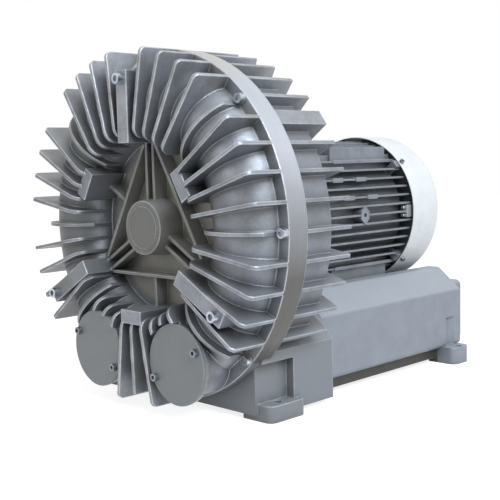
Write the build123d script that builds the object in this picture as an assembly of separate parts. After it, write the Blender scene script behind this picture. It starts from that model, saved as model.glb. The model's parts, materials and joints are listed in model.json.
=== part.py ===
from build123d import *
from math import cos, radians, sin, sqrt
import os

# Side channel blower. Millimetres, +Z up, shaft along Y with the cover facing -Y.
# Every piece is built in the pump frame: the casing's joint plane is y = 0 and the shaft is x = z = 0.
# The last step moves them all to the row frame: the centre of the four foot holes, on the floor.

# Running and assembly clearances
FIT = 0.05  # radial play of a part seated in another part that it turns or stays with
GAP = 0.5  # axial play between impeller and casing
SCREW_PLAY = 0.6  # radial play of a screw in its clearance hole
PLAY = 0.3  # distance kept between turning and standing parts

# Foot pattern and shaft height
SHAFT_HEIGHT = 313.0
FOOT_SPACING_X = 416.0
FRONT_FOOT_Y = 42.0
REAR_FOOT_Y = 580.0
FOOT_HOLE_R = 7.0
FOOT_DROP = 10.0  # feet stand this far below the pedestal's underside
FRONT_PAD_HEIGHT = 28.0
REAR_PAD_HEIGHT = 34.0

# Casing halves
CASING_R = 300.0
FLANGE_DEPTH = 21.0
TUBE_R = 57.0  # radius of the side channel
CHANNEL_R = 215.0  # radius of the side channel's centre line
WALL = 8.0
FRONT_CHANNEL_Y = 8.0  # channel centre in front of the joint plane
REAR_CORNER_R = 37.0
REAR_SKIN_CORNER_R = 8.0
REAR_CHANNEL_DEPTH = 97.0
WEB = 12.0  # thickness of the central webs
STRIPPER_WIDTH = 74.0  # block between inlet and outlet

# Cooling fins of the casing
FIN_COUNT = 40
FIN_PITCH = 360.0 / FIN_COUNT
FIN_T = 6.0
FIN_FRONT = 95.0
FIN_REAR = 127.0
FIN_INNER_R = 152.0
FIN_NOSE_R = 20.0  # rounding of a tall fin's inner front corner
FIN_LOW_HEIGHT = 15.0
SHORT_FIN_R = 236.0

# Cover: hub, bars, blocks and ribs
HUB_R = 46.0
HUB_FRONT = 61.0
HUB_DRAFT = 4.0
BAR_WIDTH = 27.0
BAR_INNER_R = 143.0
BAR_OUTER_R = 262.0
BAR_SCREW_R = 248.0
BLOCK_WIDTH = 52.0
BLOCK_INNER_R = 137.0
BLOCK_OUTER_R = 160.0
BLOCK_FRONT = 86.0
LOW_BLOCK_FRONT = 94.0
RIB_T = 5.0
RIB_FRONT = 42.0
RIB_INRADIUS = 86.0
RIB_PAIR_HALF = 9.0

# Ports and ducts
PORT_X = 107.0
PORT_Z = -216.0
DUCT_R = 50.0
DUCT_WALL = 7.0
LID_R = 67.5
LID_T = 6.0
LID_PLAY = 1.5  # the fins stop this far from a lid
LID_FRONT = 88.0
LID_SCREW_R = 57.0
LID_SCREW_TILT = 62.0
PORT_RING_T = 9.0
GASKET_T = 1.5

# Impeller
IMPELLER_MID = 16.0
IMPELLER_HALF = 24.0
LAND_HALF = 17.0
IMPELLER_WEB_HALF = 7.0
BLADE_GAP = 1.0
BLADE_COUNT = 36
BLADE_T = 4.0
IMPELLER_RING_HALF = 3.0
IMPELLER_HUB_R = 58.0
LAND_INNER_R = 128.0

# Shaft line: radii, and stations along y
SHAFT_R = 25.0
SHOULDER_R = 30.0
SHAFT_THREAD_R = 20.0
FRONT_BEARING_BORE_R = 17.5
FRONT_BEARING_R = 36.0
FRONT_BEARING_W = 17.0
FRONT_BEARING_Y = -50.0
REAR_BEARING_BORE_R = 20.0
REAR_BEARING_R = 45.0
REAR_BEARING_W = 23.0
REAR_BEARING_Y = 478.0
BEARING_LAND = 5.0
FAN_SEAT_R = 17.0
FAN_SEAT_END = 576.0
NUT_T = 12.0
NUT_FLATS = 48.0
WASHER_T = 4.0
WASHER_R = 29.0
KEY_W = 14.0
KEY_H = 9.0

# Motor
BELL_R = 150.0
BELL_WALL = 22.0
BELL_END = 135.0
SHIELD_T = 12.0
FRAME_FLANGE_T = 11.0
FRAME_R = 122.0
FRAME_BORE = 110.0
FRAME_END = 495.0
MOTOR_FIN_R = 143.0
MOTOR_FIN_T = 3.6
MOTOR_FIN_PITCH = 17.0
MOTOR_FIN_ROWS = 6
MOTOR_FIN_END = 516.0  # the fins reach under the cowl
PAD_SIDE = 93.0  # flat pads at the frame's four corners
PAD_ROOT = 70.0
PAD_LOW = 100.0
PAD_HIGH = 130.0
PAD_START = 320.0
PAD_END = 490.0
LEDGE_SIDE = 102.0
LEDGE_T = 6.0
LEDGE_END = 512.0
BOSS_Y = 361.0
BOSS_SIDE = 145.0
BOSS_TALL = 18.0  # half height, half width and half flat of the pointed boss
BOSS_WIDE = 12.0
BOSS_FLAT = 7.0
LUMP_PAIRS = ((68.0, 127.5, 302.0), (34.0, 140.5, 320.0))  # height, reach and first centre of each pair
LUMP_SPACING = 70.0
LUMP_LENGTH = 30.0
LUMP_HEIGHT = 8.0
STATOR_START = 215.0
STATOR_END = 420.0
ROTOR_R = 70.0
AIR_GAP = 0.8
WINDING_LENGTH = 36.0
MOTOR_SCREW_R = 137.0

# Fan and cowl
COWL_R = 152.0
COWL_T = 2.5
COWL_START = 508.0
COWL_END = 602.0
COWL_CORNER = 14.0
COWL_LUG_ANGLES = (50, 130, 230, 310)
COWL_LUG_WIDTH = 16.0
FAN_R = 128.0
FAN_HUB_R = 30.0
FAN_Y = 532.0
FAN_W = 36.0
FAN_BLADES = 9

# Silencers and port flanges
SILENCER_END = 622.0
SILENCER_WALL = 6.0
SILENCER_END_ROUND = 8.0
POCKET_R = 24.0  # room for a spanner over a rear foot bolt
POCKET_HEIGHT = 58.0
SILENCER_SIDE = 190.0
SILENCER_INNER_X = 20.0
SILENCER_BOTTOM = -282.0
SKIRT_INSET = 14.0
SHOULDER_Z = -167.0
ROOF_Z = -124.0
ROOF_X = 138.0
ROOF_INNER_X = 112.0
VALLEY_Z = -164.0
TIE_SPACING = 102.0
TIE_R = 5.0
PORT_FLANGE_SIZE = 126.0
PORT_FLANGE_T = 26.0
PORT_THREAD_R = 55.0
LINER_R = 64.0
SILENCER_TUBE_T = 2.0

# Pedestal
PEDESTAL_SIDE = 215.0
PEDESTAL_END = 175.0
PEDESTAL_TOP = -200.0
PEDESTAL_WALL = 9.0
FOOT_SIDE = 228.0
FOOT_START = 6.0
FOOT_END = 92.0
FOOT_CORNER_R = 14.0
NOTCH_X = 198.0
NOTCH_END = 75.0
NOTCH_TOP = -216.0

# Terminal box, on the motor's left side
BOX_Y = 300.0
BOX_SEAT = 145.0  # distance of the box's back from the shaft, clear of the fins
BOX_LENGTH = 130.0
BOX_HEIGHT = 108.0
BOX_DEPTH = 62.0
BOX_WALL = 5.0
BOX_LID_T = 12.0
BOX_GASKET_T = 2.0

# Screws: shank radius, head radius and head height
M6 = (3.0, 5.0, 6.0)
M8 = (4.0, 6.5, 8.0)
M10 = (5.0, 8.0, 10.0)
M12 = (6.0, 9.0, 12.0)
FLANGE_SCREW_R = 291.0
FLANGE_SCREW_COUNT = 8

# Derived sizes
UNDERSIDE = FOOT_DROP - SHAFT_HEIGHT
OUTER_TUBE_R = TUBE_R + WALL
CHANNEL_IN = CHANNEL_R - TUBE_R
CHANNEL_OUT = CHANNEL_R + TUBE_R
COVER_LAND = IMPELLER_MID - LAND_HALF - GAP
HOUSING_LAND = IMPELLER_MID + LAND_HALF + GAP
COVER_WEB = COVER_LAND - WEB
HOUSING_WEB = HOUSING_LAND + WEB
IMPELLER_FRONT = IMPELLER_MID - IMPELLER_HALF
IMPELLER_REAR = IMPELLER_MID + IMPELLER_HALF
SILENCER_START = PEDESTAL_END + GASKET_T
FLANGE_START = SILENCER_END + GASKET_T
BLOWER_REAR = FLANGE_START + PORT_FLANGE_T
FOOT_X = FOOT_SPACING_X / 2
SHIELD_END = BELL_END + SHIELD_T
REAR_SHIELD_END = REAR_BEARING_Y + REAR_BEARING_W + 10.0
LID_BACK = LID_T - LID_FRONT


def revolved(*points):
    """Turn a closed outline of (radius, y) points about the shaft."""
    return revolve(make_face(Polyline(*points, close=True)), axis=Axis.Y)


def rod(radius, y0, y1, x=0.0, z=0.0):
    """A cylinder along Y."""
    return Pos(x, (y0 + y1) / 2, z) * Rot(90, 0, 0) * Cylinder(radius, abs(y1 - y0))


def tube(outer, inner, y0, y1, x=0.0, z=0.0):
    """A ring along Y."""
    return rod(outer, y0, y1, x, z) - rod(inner, y0 - 1, y1 + 1, x, z)


def block(x0, x1, y0, y1, z0, z1):
    """A box given by its lowest and highest corners."""
    box = Box(abs(x1 - x0), abs(y1 - y0), abs(z1 - z0))
    return Pos((x0 + x1) / 2, (y0 + y1) / 2, (z0 + z1) / 2) * box


def prism(points, y0, y1, corner=0.0):
    """Extrude an outline of (x, z) points along Y, with its corners rounded."""
    face = make_face(Polyline(*points, close=True))
    if corner:
        face = fillet(face.vertices(), corner)
    plane = Plane(origin=(0, y0, 0), x_dir=(1, 0, 0), z_dir=(0, -1, 0))
    return extrude(plane * face, amount=y0 - y1)


def plate(edges, thickness):
    """A flat plate in the plane x = 0 from an outline in (y, z)."""
    return extrude(Plane.YZ * make_face(edges), amount=thickness / 2, both=True)


def turned(shape, angle):
    """Turn a piece built at the top of the casing clockwise about the shaft, seen from the front."""
    return Rot(0, angle, 0) * shape


def cap_screw(size, length):
    """Socket screw along +Y: the head's underside lies on y = 0 and the head stands on its -Y side."""
    shank, head, height = size
    socket = Plane.XZ.offset(height) * RegularPolygon(shank * 0.95, 6)
    screw = rod(head, -height, 0) + rod(shank - FIT, 0, length)
    return screw - extrude(socket, amount=-height * 0.55)


def screw_at(size, length, x, y, z):
    return Pos(x, y, z) * cap_screw(size, length)


def ring_points(radius, angles):
    """Points (x, z) on a circle about the shaft, by angle clockwise from the top."""
    return [(radius * sin(radians(a)), radius * cos(radians(a))) for a in angles]


def flange_angles():
    return [i * 360 / FLANGE_SCREW_COUNT for i in range(FLANGE_SCREW_COUNT)]


def port_sides():
    """Names and signs of the two ports: -1 is left and +1 is right, seen from the front."""
    return (("left", -1), ("right", 1))


# Front cover


def cover_skin():
    """Outer form of the cover: hub boss, web, half tube and flange ring."""
    flange_tube = FLANGE_DEPTH - FRONT_CHANNEL_Y
    tube_at_flange = CHANNEL_R + sqrt(OUTER_TUBE_R**2 - flange_tube**2)
    web_depth = -COVER_WEB - FRONT_CHANNEL_Y
    tube_at_web = CHANNEL_R - sqrt(OUTER_TUBE_R**2 - web_depth**2)
    crown = (CHANNEL_R, -FRONT_CHANNEL_Y - OUTER_TUBE_R)
    outline = Polyline(
        (tube_at_web, COVER_WEB),
        (HUB_R + HUB_DRAFT, COVER_WEB),
        (HUB_R, -HUB_FRONT),
        (0, -HUB_FRONT),
        (0, 0),
        (CASING_R, 0),
        (CASING_R, -FLANGE_DEPTH),
        (tube_at_flange, -FLANGE_DEPTH),
    )
    arc = ThreePointArc((tube_at_flange, -FLANGE_DEPTH), crown, (tube_at_web, COVER_WEB))
    return revolve(make_face(outline + arc), axis=Axis.Y)


def cover_fin(outer_r):
    """Tall radial fin with a rounded front corner, reaching to the given radius."""
    root = -FLANGE_DEPTH / 2
    corner = (-FIN_FRONT + 12, outer_r)
    edges = Polyline((root, FIN_INNER_R), (root, outer_r), corner)
    edges += ThreePointArc(corner, (-FIN_FRONT + 6, outer_r - 3), (-FIN_FRONT + 3, outer_r - 12))
    edges += Polyline(
        (-FIN_FRONT + 3, outer_r - 12),
        (-FIN_FRONT, FIN_INNER_R + FIN_NOSE_R),
    )
    diagonal = FIN_NOSE_R * (1 - sqrt(0.5))
    edges += ThreePointArc(
        (-FIN_FRONT, FIN_INNER_R + FIN_NOSE_R),
        (-FIN_FRONT + diagonal, FIN_INNER_R + diagonal),
        (-FIN_FRONT + FIN_NOSE_R, FIN_INNER_R),
    )
    edges += Line((-FIN_FRONT + FIN_NOSE_R, FIN_INNER_R), (root, FIN_INNER_R))
    return plate(edges, FIN_T)


def cover_low_fin():
    """Low fin that follows the tube and leaves room for a flange screw."""
    radius = OUTER_TUBE_R + FIN_LOW_HEIGHT
    outer = CHANNEL_R + OUTER_TUBE_R
    rise = sqrt(radius**2 - OUTER_TUBE_R**2)
    start = (-FRONT_CHANNEL_Y - rise, outer)
    end = (-FRONT_CHANNEL_Y - rise, CHANNEL_R - OUTER_TUBE_R)
    edges = ThreePointArc(start, (-FRONT_CHANNEL_Y - radius, CHANNEL_R), end)
    edges += Polyline(end, (COVER_WEB, end[1]), (COVER_WEB, outer), start)
    return plate(edges, FIN_T)


def cover_fins():
    """All the cover's fins: tall, low at the flange screws, and short above the two ports."""
    fins = []
    screws_every = FIN_COUNT // FLANGE_SCREW_COUNT
    for i in range(FIN_COUNT):
        angle = i * FIN_PITCH
        from_bottom = abs(angle - 180)
        if 12 < from_bottom < 40:
            fin = cover_fin(SHORT_FIN_R)
        elif i % screws_every == 0 and from_bottom > 12:
            fin = cover_low_fin()
        else:
            fin = cover_fin(CASING_R - 0.1)
        fins.append(turned(fin, angle))
    return fins


def cover_bars():
    """Three thick radial bars and three cast blocks between them."""
    bars = []
    for angle in (0, 120, 240):
        bar = block(-BAR_WIDTH / 2, BAR_WIDTH / 2, -FIN_FRONT - 1, COVER_WEB, BAR_INNER_R, BAR_OUTER_R)
        bars.append(turned(bar, angle))
    half = BLOCK_WIDTH / 2
    for angle, front in ((60, BLOCK_FRONT), (180, LOW_BLOCK_FRONT), (300, BLOCK_FRONT)):
        cast_block = block(-half, half, -front, COVER_WEB, BLOCK_INNER_R, BLOCK_OUTER_R)
        bars.append(turned(cast_block, angle))
    return bars


def cover_ribs():
    """Triangle of ribs round the hub, paired ribs to its corners and single ribs to the blocks."""
    ribs = []
    half_side = RIB_INRADIUS * sqrt(3) - 34
    for angle in (60, 180, 300):
        side = block(-half_side, half_side, -RIB_FRONT, COVER_WEB, RIB_INRADIUS - RIB_T, RIB_INRADIUS)
        spoke = block(-RIB_T / 2, RIB_T / 2, 4 - RIB_FRONT, COVER_WEB, RIB_INRADIUS - 1, BLOCK_INNER_R + 1)
        ribs += [turned(side, angle), turned(spoke, angle)]
    for angle in (0, 120, 240):
        for side in (-1, 1):
            x = side * RIB_PAIR_HALF
            rib = block(x - RIB_T / 2, x + RIB_T / 2, -RIB_FRONT, COVER_WEB, HUB_R - 4, BAR_INNER_R + 1)
            ribs.append(turned(rib, angle))
    return ribs


def cover_ports():
    """Round port necks with the rings that carry the blank lids."""
    necks = []
    for _, side in port_sides():
        x = side * PORT_X
        necks.append(rod(DUCT_R + DUCT_WALL, LID_BACK + GASKET_T, COVER_WEB, x, PORT_Z))
        necks.append(rod(LID_R - 1.5, LID_BACK + GASKET_T, LID_BACK + PORT_RING_T, x, PORT_Z))
    return necks


def lid_screw_points(side):
    """Two screws on opposite sides of a lid, mirrored from one lid to the other."""
    angles = (side * LID_SCREW_TILT, side * LID_SCREW_TILT + 180)
    return [(side * PORT_X + x, PORT_Z + z) for x, z in ring_points(LID_SCREW_R, angles)]


def front_cavity():
    """Side channel, impeller recess and stripper of the cover."""
    outline = Polyline(
        (CHANNEL_IN, -FRONT_CHANNEL_Y),
        (CHANNEL_IN, COVER_LAND),
        (0, COVER_LAND),
        (0, 1),
        (CHANNEL_OUT, 1),
        (CHANNEL_OUT, -FRONT_CHANNEL_Y),
    )
    crown = (CHANNEL_R, -FRONT_CHANNEL_Y - TUBE_R)
    arc = ThreePointArc((CHANNEL_OUT, -FRONT_CHANNEL_Y), crown, (CHANNEL_IN, -FRONT_CHANNEL_Y))
    half = STRIPPER_WIDTH / 2
    face = IMPELLER_FRONT - GAP
    stripper = block(-half, half, -FIN_FRONT, face, -CASING_R, -CHANNEL_IN + 1)
    return revolve(make_face(outline + arc), axis=Axis.Y) - stripper


def front_cover():
    cover = cover_skin() + (cover_fins() + cover_bars() + cover_ribs() + cover_ports())
    cuts = [front_cavity()]
    bearing_end = FRONT_BEARING_Y + FRONT_BEARING_W
    cuts.append(rod(HUB_R - 5, -HUB_FRONT - 1, -HUB_FRONT + 5))
    cuts.append(rod(FRONT_BEARING_R + FIT, -HUB_FRONT, bearing_end))
    cuts.append(rod(FRONT_BEARING_R - BEARING_LAND, bearing_end - 1, COVER_LAND + 1))
    for _, side in port_sides():
        cuts.append(rod(DUCT_R, LID_BACK - 1, IMPELLER_FRONT - GAP, side * PORT_X, PORT_Z))
        cuts.append(rod(LID_R + LID_PLAY, -FIN_FRONT - 2, LID_BACK + GASKET_T, side * PORT_X, PORT_Z))
        for x, z in lid_screw_points(side):
            cuts.append(rod(M8[0] + FIT, LID_BACK, LID_BACK + PORT_RING_T + 9, x, z))
    for x, z in ring_points(FLANGE_SCREW_R, flange_angles()):
        cuts.append(rod(M10[0] + SCREW_PLAY, -FLANGE_DEPTH - 2, 1, x, z))
        cuts.append(rod(M10[1] + 2, -FIN_FRONT - 1, -FLANGE_DEPTH, x, z))
    for x, z in ring_points(BAR_SCREW_R, (0, 120, 240)):
        cuts.append(rod(M12[0] + FIT, -FIN_FRONT - 2, -FIN_FRONT + 30, x, z))
    return cover - cuts


# Rear housing


def housing_skin():
    """Outer form of the housing: flange ring, rear channel, web and motor bell."""
    corner = REAR_SKIN_CORNER_R
    outer = CHANNEL_OUT + WALL
    rear = REAR_CHANNEL_DEPTH + WALL
    diagonal = corner * (1 - sqrt(0.5))
    outline = Polyline(
        (outer, rear - corner),
        (outer, FLANGE_DEPTH),
        (CASING_R, FLANGE_DEPTH),
        (CASING_R, 0),
        (0, 0),
        (0, HOUSING_WEB),
        (BELL_R - BELL_WALL, HOUSING_WEB),
        (BELL_R - BELL_WALL, BELL_END),
        (BELL_R, BELL_END),
        (BELL_R, rear),
        (outer - corner, rear),
    )
    corner_mid = (outer - diagonal, rear - diagonal)
    outline += ThreePointArc((outer - corner, rear), corner_mid, (outer, rear - corner))
    return revolve(make_face(outline), axis=Axis.Y)


def housing_fins():
    """Radial fins behind the flange, left out where the pedestal carries the casing."""
    edges = Polyline(
        (FLANGE_DEPTH / 2, CASING_R - 0.1),
        (FIN_REAR, CASING_R - 0.1),
        (FIN_REAR, CASING_R - 40),
        (REAR_CHANNEL_DEPTH + WALL + 4, CHANNEL_IN),
        (FLANGE_DEPTH / 2, CHANNEL_IN),
        close=True,
    )
    fins = []
    for i in range(FIN_COUNT):
        angle = i * FIN_PITCH
        if abs(angle - 180) > 50:
            fins.append(turned(plate(edges, FIN_T), angle))
    for angle in (54, 306):
        fins.append(turned(plate(edges, BAR_WIDTH), angle))
    return fins


def pedestal():
    """Hollow cast foot block under the casing, with the two gas ducts through it."""
    side = PEDESTAL_SIDE
    wall = PEDESTAL_WALL
    shoulder = (SILENCER_SIDE, SHOULDER_Z)
    outer = [(-side, UNDERSIDE), (side, UNDERSIDE), (side, PEDESTAL_TOP), shoulder, (ROOF_X, ROOF_Z)]
    outer += [(-ROOF_X, ROOF_Z), (-shoulder[0], shoulder[1]), (-side, PEDESTAL_TOP)]
    shell = prism(outer, 0, PEDESTAL_END)
    low = UNDERSIDE - 1
    hollow_side = NOTCH_X - wall
    hollow = block(-hollow_side, hollow_side, wall, PEDESTAL_END - wall, low, PEDESTAL_TOP)
    shell -= hollow
    for _, side_x in port_sides():
        wall_x = side_x * (FOOT_SIDE + 1)
        shell -= block(side_x * NOTCH_X, wall_x, -1, NOTCH_END, UNDERSIDE - 1, NOTCH_TOP)
        inner_x = side_x * (NOTCH_X - 34)
        shell += foot_pad(inner_x, side_x * FOOT_SIDE, FOOT_START, FOOT_END, FRONT_PAD_HEIGHT)
        shell += rod(DUCT_R + DUCT_WALL, wall, PEDESTAL_END, side_x * PORT_X, PORT_Z)
    return shell


def foot_pad(inner_x, outer_x, y0, y1, height):
    """Foot on the floor, with its two outer corners rounded."""
    pad = block(inner_x, outer_x, y0, y1, -SHAFT_HEIGHT, height - SHAFT_HEIGHT)
    outer_edges = pad.edges().filter_by(Axis.Z).sort_by(lambda edge: abs(edge.center().X))[-2:]
    return fillet(outer_edges, FOOT_CORNER_R)


def foot_hole(x, y, height):
    """Vertical bolt hole of a foot."""
    return Pos(x, y, height / 2 - SHAFT_HEIGHT) * Cylinder(FOOT_HOLE_R, height + 2)


def rear_cavity():
    """Side channel, impeller recess and stripper of the housing."""
    depth = REAR_CHANNEL_DEPTH
    corner = REAR_CORNER_R
    diagonal = corner * (1 - sqrt(0.5))
    outline = Polyline((CHANNEL_OUT, depth - corner), (CHANNEL_OUT, -1), (0, -1), (0, HOUSING_LAND))
    outline += Polyline((0, HOUSING_LAND), (CHANNEL_IN, HOUSING_LAND), (CHANNEL_IN, depth - corner))
    outline += ThreePointArc(
        (CHANNEL_IN, depth - corner),
        (CHANNEL_IN + diagonal, depth - diagonal),
        (CHANNEL_IN + corner, depth),
    )
    outline += Line((CHANNEL_IN + corner, depth), (CHANNEL_OUT - corner, depth))
    outline += ThreePointArc(
        (CHANNEL_OUT - corner, depth),
        (CHANNEL_OUT - diagonal, depth - diagonal),
        (CHANNEL_OUT, depth - corner),
    )
    half = STRIPPER_WIDTH / 2
    stripper = block(-half, half, IMPELLER_REAR + GAP, FIN_REAR, -CASING_R, -CHANNEL_IN + 1)
    return revolve(make_face(outline), axis=Axis.Y) - stripper


def tie_points(side):
    """Corners (x, z) of the tie-rod square round a port."""
    half = TIE_SPACING / 2
    corners = ((-half, -half), (half, -half), (half, half), (-half, half))
    return [(side * PORT_X + x, PORT_Z + z) for x, z in corners]


def rear_housing():
    shell = housing_skin() + (housing_fins() + [pedestal()])
    for _, side in port_sides():
        for x, z in tie_points(side):
            shell += rod(TIE_R + 7, PEDESTAL_END - 40, PEDESTAL_END, x, z)
    motor_room = rod(BELL_R + 8, REAR_CHANNEL_DEPTH + WALL + 0.5, PEDESTAL_END + 1)
    motor_room -= rod(BELL_R, REAR_CHANNEL_DEPTH, BELL_END)
    cuts = [rear_cavity(), motor_room, rod(SHOULDER_R + 12, HOUSING_LAND - 1, HOUSING_WEB + 1)]
    cuts.append(rod(BELL_R - BELL_WALL, HOUSING_WEB, PEDESTAL_END + 1))
    for _, side in port_sides():
        cuts.append(rod(DUCT_R, IMPELLER_REAR + GAP, PEDESTAL_END + 1, side * PORT_X, PORT_Z))
        cuts.append(foot_hole(side * FOOT_X, FRONT_FOOT_Y, FRONT_PAD_HEIGHT))
        for x, z in tie_points(side):
            cuts.append(rod(TIE_R + FIT, PEDESTAL_END - 30, PEDESTAL_END + 1, x, z))
    for x, z in ring_points(FLANGE_SCREW_R, flange_angles()):
        cuts.append(rod(M10[0] + FIT, -1, FLANGE_DEPTH + 4, x, z))
    for x, z in ring_points(MOTOR_SCREW_R, motor_screw_angles()):
        cuts.append(rod(M10[0] + FIT, BELL_END - 28, BELL_END + 1, x, z))
    cuts.append(seal_groove())
    return shell - cuts


def motor_screw_angles():
    return [22.5 + 45 * i for i in range(8)]


def seal_groove():
    return tube(CHANNEL_OUT + 5.5, CHANNEL_OUT + 2.5, -1, 2.4)


def casing_seal():
    return tube(CHANNEL_OUT + 5.5 - FIT, CHANNEL_OUT + 2.5 + FIT, 0, 2.4 - FIT)


def bearing_cap():
    """Plain round cap over the front bearing, with a shallow raised rim."""
    face = -HUB_FRONT
    cap = rod(HUB_R - 5 - FIT, face - 1.0, face + 5)
    rim = tube(HUB_R - 9, HUB_R - 11, face - 2, face - 0.2)
    return cap + rim + tube(FRONT_BEARING_R - FIT, FRONT_BEARING_R - 3, face + 4, FRONT_BEARING_Y)


def port_cover(side):
    """Blank round lid with two flats where the screws sit."""
    lid = rod(LID_R, -LID_FRONT, LID_BACK, side * PORT_X, PORT_Z)
    lid = chamfer(lid.faces().sort_by(Axis.Y)[0].edges(), 1.0)
    for x, z in lid_screw_points(side):
        lid += rod(M8[1] + 3, -LID_FRONT, LID_BACK, x, z)
    for x, z in lid_screw_points(side):
        lid -= rod(M8[0] + SCREW_PLAY, -LID_FRONT - 1, LID_BACK + 1, x, z)
    return lid


def port_gasket(side):
    gasket = tube(LID_R - 1.5, DUCT_R, LID_BACK, LID_BACK + GASKET_T, side * PORT_X, PORT_Z)
    for x, z in lid_screw_points(side):
        gasket -= rod(M8[0] + SCREW_PLAY, LID_BACK - 1, LID_BACK + GASKET_T + 1, x, z)
    return gasket


def port_cover_screws():
    screws = []
    for _, side in port_sides():
        for x, z in lid_screw_points(side):
            screws.append(screw_at(M8, LID_T + GASKET_T + 14, x, -LID_FRONT, z))
    return screws


def flange_screws():
    points = ring_points(FLANGE_SCREW_R, flange_angles())
    return [screw_at(M10, FLANGE_DEPTH + 18, x, -FLANGE_DEPTH, z) for x, z in points]


def cover_bar_screws():
    points = ring_points(BAR_SCREW_R, (0, 120, 240))
    return [screw_at(M12, 26, x, -FIN_FRONT - 1, z) for x, z in points]


# Shaft line


def shaft():
    """Stepped shaft from the front bearing to the cooling fan."""
    front = FRONT_BEARING_Y - 3
    front_end = FRONT_BEARING_Y + FRONT_BEARING_W
    rear_start = REAR_BEARING_Y
    rear_end = rear_start + REAR_BEARING_W
    return revolved(
        (0, front),
        (FRONT_BEARING_BORE_R - FIT, front),
        (FRONT_BEARING_BORE_R - FIT, front_end),
        (SHAFT_THREAD_R - FIT, front_end),
        (SHAFT_THREAD_R - FIT, IMPELLER_MID - LAND_HALF + 2),
        (SHAFT_R - FIT, IMPELLER_MID - LAND_HALF + 2),
        (SHAFT_R - FIT, IMPELLER_MID + LAND_HALF),
        (SHOULDER_R, IMPELLER_MID + LAND_HALF),
        (SHOULDER_R, rear_start - 14),
        (REAR_BEARING_BORE_R + 5, rear_start - 14),
        (REAR_BEARING_BORE_R + 5, rear_start),
        (REAR_BEARING_BORE_R - FIT, rear_start),
        (REAR_BEARING_BORE_R - FIT, rear_end + 2),
        (FAN_SEAT_R - FIT, rear_end + 2),
        (FAN_SEAT_R - FIT, FAN_SEAT_END),
        (0, FAN_SEAT_END),
    ) - key_space(0)


def key_space(play):
    """Key between shaft and impeller, along the shaft's top."""
    half = KEY_W / 2 + play
    z = SHAFT_R - 5
    return block(-half, half, IMPELLER_MID - 13 - play, IMPELLER_MID + 13 + play, z, z + KEY_H)


def impeller_key():
    half = KEY_W / 2 - FIT
    z = SHAFT_R - 5 + FIT
    return block(-half, half, IMPELLER_MID - 13 + FIT, IMPELLER_MID + 13 - FIT, z, z + KEY_H - 2 * FIT)


def impeller():
    """Double-sided impeller: hub, web, sealing land and a ring of radial blades."""
    mid = IMPELLER_MID
    land_r = CHANNEL_IN
    ring_r = CHANNEL_OUT - BLADE_GAP
    half_outline = (
        (SHAFT_R, LAND_HALF),
        (IMPELLER_HUB_R, LAND_HALF),
        (IMPELLER_HUB_R + 6, IMPELLER_WEB_HALF),
        (LAND_INNER_R - 6, IMPELLER_WEB_HALF),
        (LAND_INNER_R, LAND_HALF),
        (land_r - BLADE_GAP, LAND_HALF),
        (land_r - BLADE_GAP, LAND_HALF - 2),
        (land_r + 20, IMPELLER_RING_HALF),
        (ring_r - 6, IMPELLER_RING_HALF),
    )
    points = [(r, mid + y) for r, y in half_outline]
    points += [(r, mid - y) for r, y in reversed(half_outline)]
    body = revolved(*points)
    blade_base = land_r - BLADE_GAP - 2
    blade = block(-BLADE_T / 2, BLADE_T / 2, mid - LAND_HALF, mid + LAND_HALF, blade_base, land_r + 3)
    tip = block(-BLADE_T / 2, BLADE_T / 2, IMPELLER_FRONT, IMPELLER_REAR, land_r + BLADE_GAP, ring_r)
    blades = [turned(blade + tip, i * 360 / BLADE_COUNT) for i in range(BLADE_COUNT)]
    wheel = body + blades
    keyway = block(-KEY_W / 2, KEY_W / 2, mid - LAND_HALF - 1, mid + LAND_HALF + 1, 0, SHAFT_R - 5 + KEY_H)
    return wheel - keyway


def impeller_washer():
    start = IMPELLER_MID - LAND_HALF - WASHER_T
    return tube(WASHER_R, SHAFT_THREAD_R, start, start + WASHER_T)


def impeller_nut():
    start = IMPELLER_MID - LAND_HALF - WASHER_T - NUT_T
    nut = Plane.XZ.offset(-start) * RegularPolygon(NUT_FLATS / 2, 6, major_radius=False)
    return extrude(nut, amount=-NUT_T) - rod(SHAFT_THREAD_R, start - 1, start + NUT_T + 1)


def bearing_rings(bore, outer, start, width):
    """Outer ring, inner ring and the ball row with its cage."""
    inner_ring = tube(bore + BEARING_LAND, bore, start, start + width)
    outer_ring = tube(outer, outer - BEARING_LAND, start, start + width)
    cage = tube(outer - BEARING_LAND - PLAY, bore + BEARING_LAND + FIT, start + 2, start + width - 2)
    return outer_ring, inner_ring, cage


def shaft_seal():
    """Lip seal in the housing web."""
    outer = SHOULDER_R + 12 - FIT
    return tube(outer, SHOULDER_R + PLAY, HOUSING_WEB - 9, HOUSING_WEB)


# Motor


def drive_end_shield():
    """Disc that closes the bell and centres the motor frame."""
    disc = rod(BELL_R, BELL_END, SHIELD_END)
    spigot = tube(FRAME_BORE - FIT, FRAME_BORE - 9, SHIELD_END - 1, SHIELD_END + 9)
    shield = disc + spigot - rod(SHOULDER_R + 4, BELL_END - 1, SHIELD_END + 1)
    for x, z in ring_points(MOTOR_SCREW_R, motor_screw_angles()):
        shield -= rod(M10[0] + SCREW_PLAY, BELL_END - 1, SHIELD_END + 1, x, z)
    return shield


def motor_fins():
    """Level fins on both sides and upright fins above and below, all ending on one circle."""
    start = SHIELD_END + FRAME_FLANGE_T + 14
    fins = []
    for i in range(-MOTOR_FIN_ROWS, MOTOR_FIN_ROWS + 1):
        offset = i * MOTOR_FIN_PITCH
        reach = sqrt(MOTOR_FIN_R**2 - offset**2)
        low = offset - MOTOR_FIN_T / 2
        high = offset + MOTOR_FIN_T / 2
        fins.append(block(-reach, reach, start, MOTOR_FIN_END, low, high))
        if abs(i) < MOTOR_FIN_ROWS:
            fins.append(block(low, high, start, MOTOR_FIN_END, -reach, reach))
    return fins


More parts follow.
